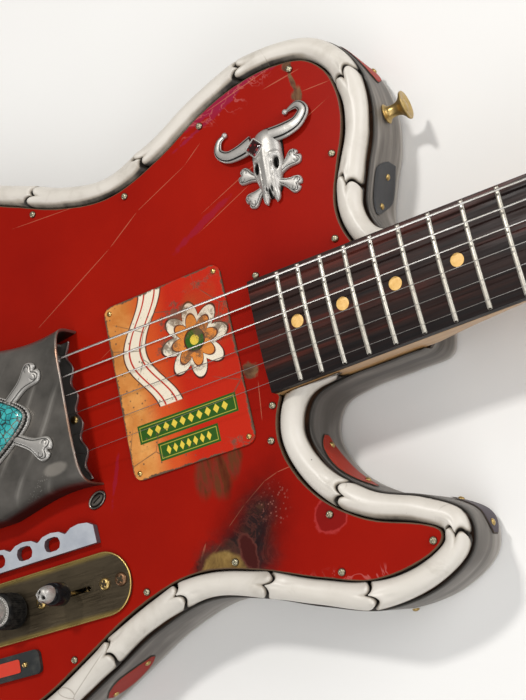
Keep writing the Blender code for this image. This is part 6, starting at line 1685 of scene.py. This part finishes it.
def light(name, place, target, size, power, colour=(1, 1, 1)):
    """Rectangular lamp that faces a target."""
    lamp = bpy.data.lights.new(name, "AREA")
    lamp.shape = "RECTANGLE"
    lamp.size, lamp.size_y = size
    lamp.energy = power
    lamp.color = colour
    item = bpy.data.objects.new(name, lamp)
    item.location = place
    item.rotation_euler = (Vector(target) - Vector(place)).to_track_quat("-Z", "Y").to_euler()
    bpy.context.scene.collection.objects.link(item)


def studio():
    """Pale sweep of floor, a large soft lamp overhead, a fill and a rim, and the camera of the photograph."""
    floor = Shape()
    steps = np.linspace(-1, 1, 61)
    gx, gy = np.meshgrid(steps * 6 + .3, steps * 6, indexing="ij")
    floor.add(np.stack([gx, gy, -.0006 + 0 * gx], 2), wrap_columns=False, caps=False)
    floor.piece("studio_floor", floor_finish())
    light("key_lamp", (.14, .62, 1.22), (.12, 0, .03), (.12, .12), 8.7, (1.0, .98, .95))
    light("over_lamp", (.36, -.30, 1.34), (.12, 0, .03), (1.3, 1.1), 6.0, (1.0, .985, .96))
    light("fill_lamp", (.60, -1.0, .85), (.1, -.05, .03), (1.1, .6), 6.4, (.97, .98, 1.0))
    light("side_lamp", (1.15, .25, .45), (.15, 0, .03), (.7, .5), 5)
    light("tail_lamp", (-1.1, -.3, .35), (0, 0, .03), (.8, .4), 3)
    world = bpy.context.scene.world or bpy.data.worlds.new("studio_world")
    bpy.context.scene.world = world
    world.use_nodes = True
    back = world.node_tree.nodes["Background"]
    back.inputs["Color"].default_value = (1.0, 1.0, 1.0, 1)
    back.inputs["Strength"].default_value = 0.21
    eye = bpy.data.cameras.new("photo_camera")
    eye.lens = CAMERA_LENS
    eye.sensor_width = 36
    eye.clip_start = .01
    item = bpy.data.objects.new("photo_camera", eye)
    item.location = CAMERA_PLACE
    item.rotation_euler = [math.radians(a) for a in CAMERA_TURN]
    bpy.context.scene.collection.objects.link(item)
    bpy.context.scene.camera = item
    bpy.context.scene.view_settings.view_transform = "Standard"


def dress(material, *names):
    """Gives CAD nodes a material in their own slots."""
    for name in names:
        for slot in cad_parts[name].material_slots:
            slot.material = material


def main():
    """Makes the finishes and the dressed pieces, dresses the CAD nodes and sets up the studio."""
    silver = metal_finish("old_silver", (0.50, 0.48, 0.45), (0.25, 0.237, 0.215), 0.44, 210.0, 0.72)
    brass = metal_finish("worn_brass", (0.54, 0.385, 0.15), (0.24, 0.15, 0.055), 0.32, 120.0)
    nickel = metal_finish("worn_nickel", (0.58, 0.56, 0.52), (0.30, 0.26, 0.20), 0.28, 150.0, hollow=False)
    chrome = trim_finish()
    black = knurled_black()
    gloss = Finish("lever_black", (0.006, 0.006, 0.007), 0.16, 0.0, Specular_IOR_Level=0.10)
    tone = gloss.ramp(gloss.noise(150.0), [(0.4, (0.005, 0.005, 0.006)), (0.8, (0.016, 0.015, 0.015))])
    gloss.use(Base_Color=tone)
    bones()
    panel(red_paint())
    band(band_finish())
    skull(silver)
    garnet().piece("brow_rim", silver)
    stone()
    bezel(silver)
    knobs(silver, black)
    lever(silver, gloss.material, brass)
    strap_buttons(brass)
    cover(cover_finish())
    nails()
    tacks = patches()
    for x, y in TIN_NAILS:
        tacks.add(dome(x * MM, y * MM, SEAT + .8 * MM, 1.5 * MM, 1.0 * MM, 16))
    tacks.add(dome(.3 * MM, -119.2 * MM, SEAT + 2.3 * MM, 1.5 * MM, 1.1 * MM, 16))
    tacks.add(dome(57.3 * MM, -4.6 * MM, SEAT + 1.5 * MM, 2.2 * MM, 1.3 * MM, 20))
    tacks.piece("brass_tacks", brass)
    tab = Shape()
    rim = ellipse(61.5, -48.5, 6.0, 3.9, .45)
    levels = mm((0, .02), (0, .7), (.3, 1.0), (.8, 1.0), (1.3, .6), (2.4, .8), (3.4, .9))
    tab.add(pillow(rim * MM, TOP, levels), value=np.array([.9, .7, .3, .3, .9, .2, 0])[:, None])
    tab.piece("oval_tab", metal_finish("dull_tab", (0.33, 0.29, 0.25), (0.10, 0.08, 0.065), 0.30, 160.0))
    frets_and_dots()
    tray_lip(metal_finish("bead_tin", (0.62, 0.60, 0.57), (0.34, 0.32, 0.30), 0.3, 90.0, hollow=False))
    plate_rim(metal_finish("rim_gold", (0.6, 0.44, 0.15), (0.3, 0.21, 0.08), 0.42, 40.0, hollow=False,
                           grit=0.03))
    screws = Shape()
    for side, spin in ((1, .5), (-1, 1.1)):
        screw_head(screws, SWITCH_X + side * SWITCH_SCREW_REACH, PLATE_Y, 3.1, 1.7, spin)
    screws.piece("switch_screws", brass)
    screws = Shape()
    for x, spin in zip(PLATE_SCREW_X, (.8, .2)):
        screw_head(screws, x, PLATE_Y, 3.5, 1.75, spin)
    copper = metal_finish("old_copper", (0.22, 0.12, 0.065), (0.09, 0.055, 0.035), 0.40, 120.0)
    screws.piece("plate_screws", copper)
    dress(core_finish(), "body_core")
    dress(printed_tin(), "tin_plate")
    dress(plaque_finish(), "side_plaque")
    dress(tray_finish(), "bridge_plate")
    dress(brass, "saddle_1", "saddle_2", "saddle_3")
    dress(pickup_finish(), "pickup")
    dress(plate_brass(), "control_plate")
    dress(chrome, "chrome_trim")
    dress(neck_finish(), "neck")
    dress(board_finish(), "fingerboard")
    dress(bone_plain(), "nut")
    dress(nickel, "jack_cup", *["tuner_post_%d" % k for k in range(1, 7)],
          *["tuner_button_%d" % k for k in range(1, 7)])
    dress(string_finish("wound_string", True), "string_4", "string_5", "string_6")
    dress(string_finish("plain_string", False), "string_1", "string_2", "string_3")
    hidden = metal_finish("covered_metal", (0.5, 0.48, 0.45), (0.25, 0.24, 0.22), 0.4, 90.0, hollow=False)
    dress(hidden, "top_panel", "side_band", "bridge_cover", "stone_bezel", "skull_plaque", "volume_knob",
          "tone_knob", "switch_lever", "strap_button_neck", "strap_button_tail", "turquoise_stone")
    dress(bone_plain(), *["edge_bone_%02d" % k for k in range(1, 18)])
    studio()


main()
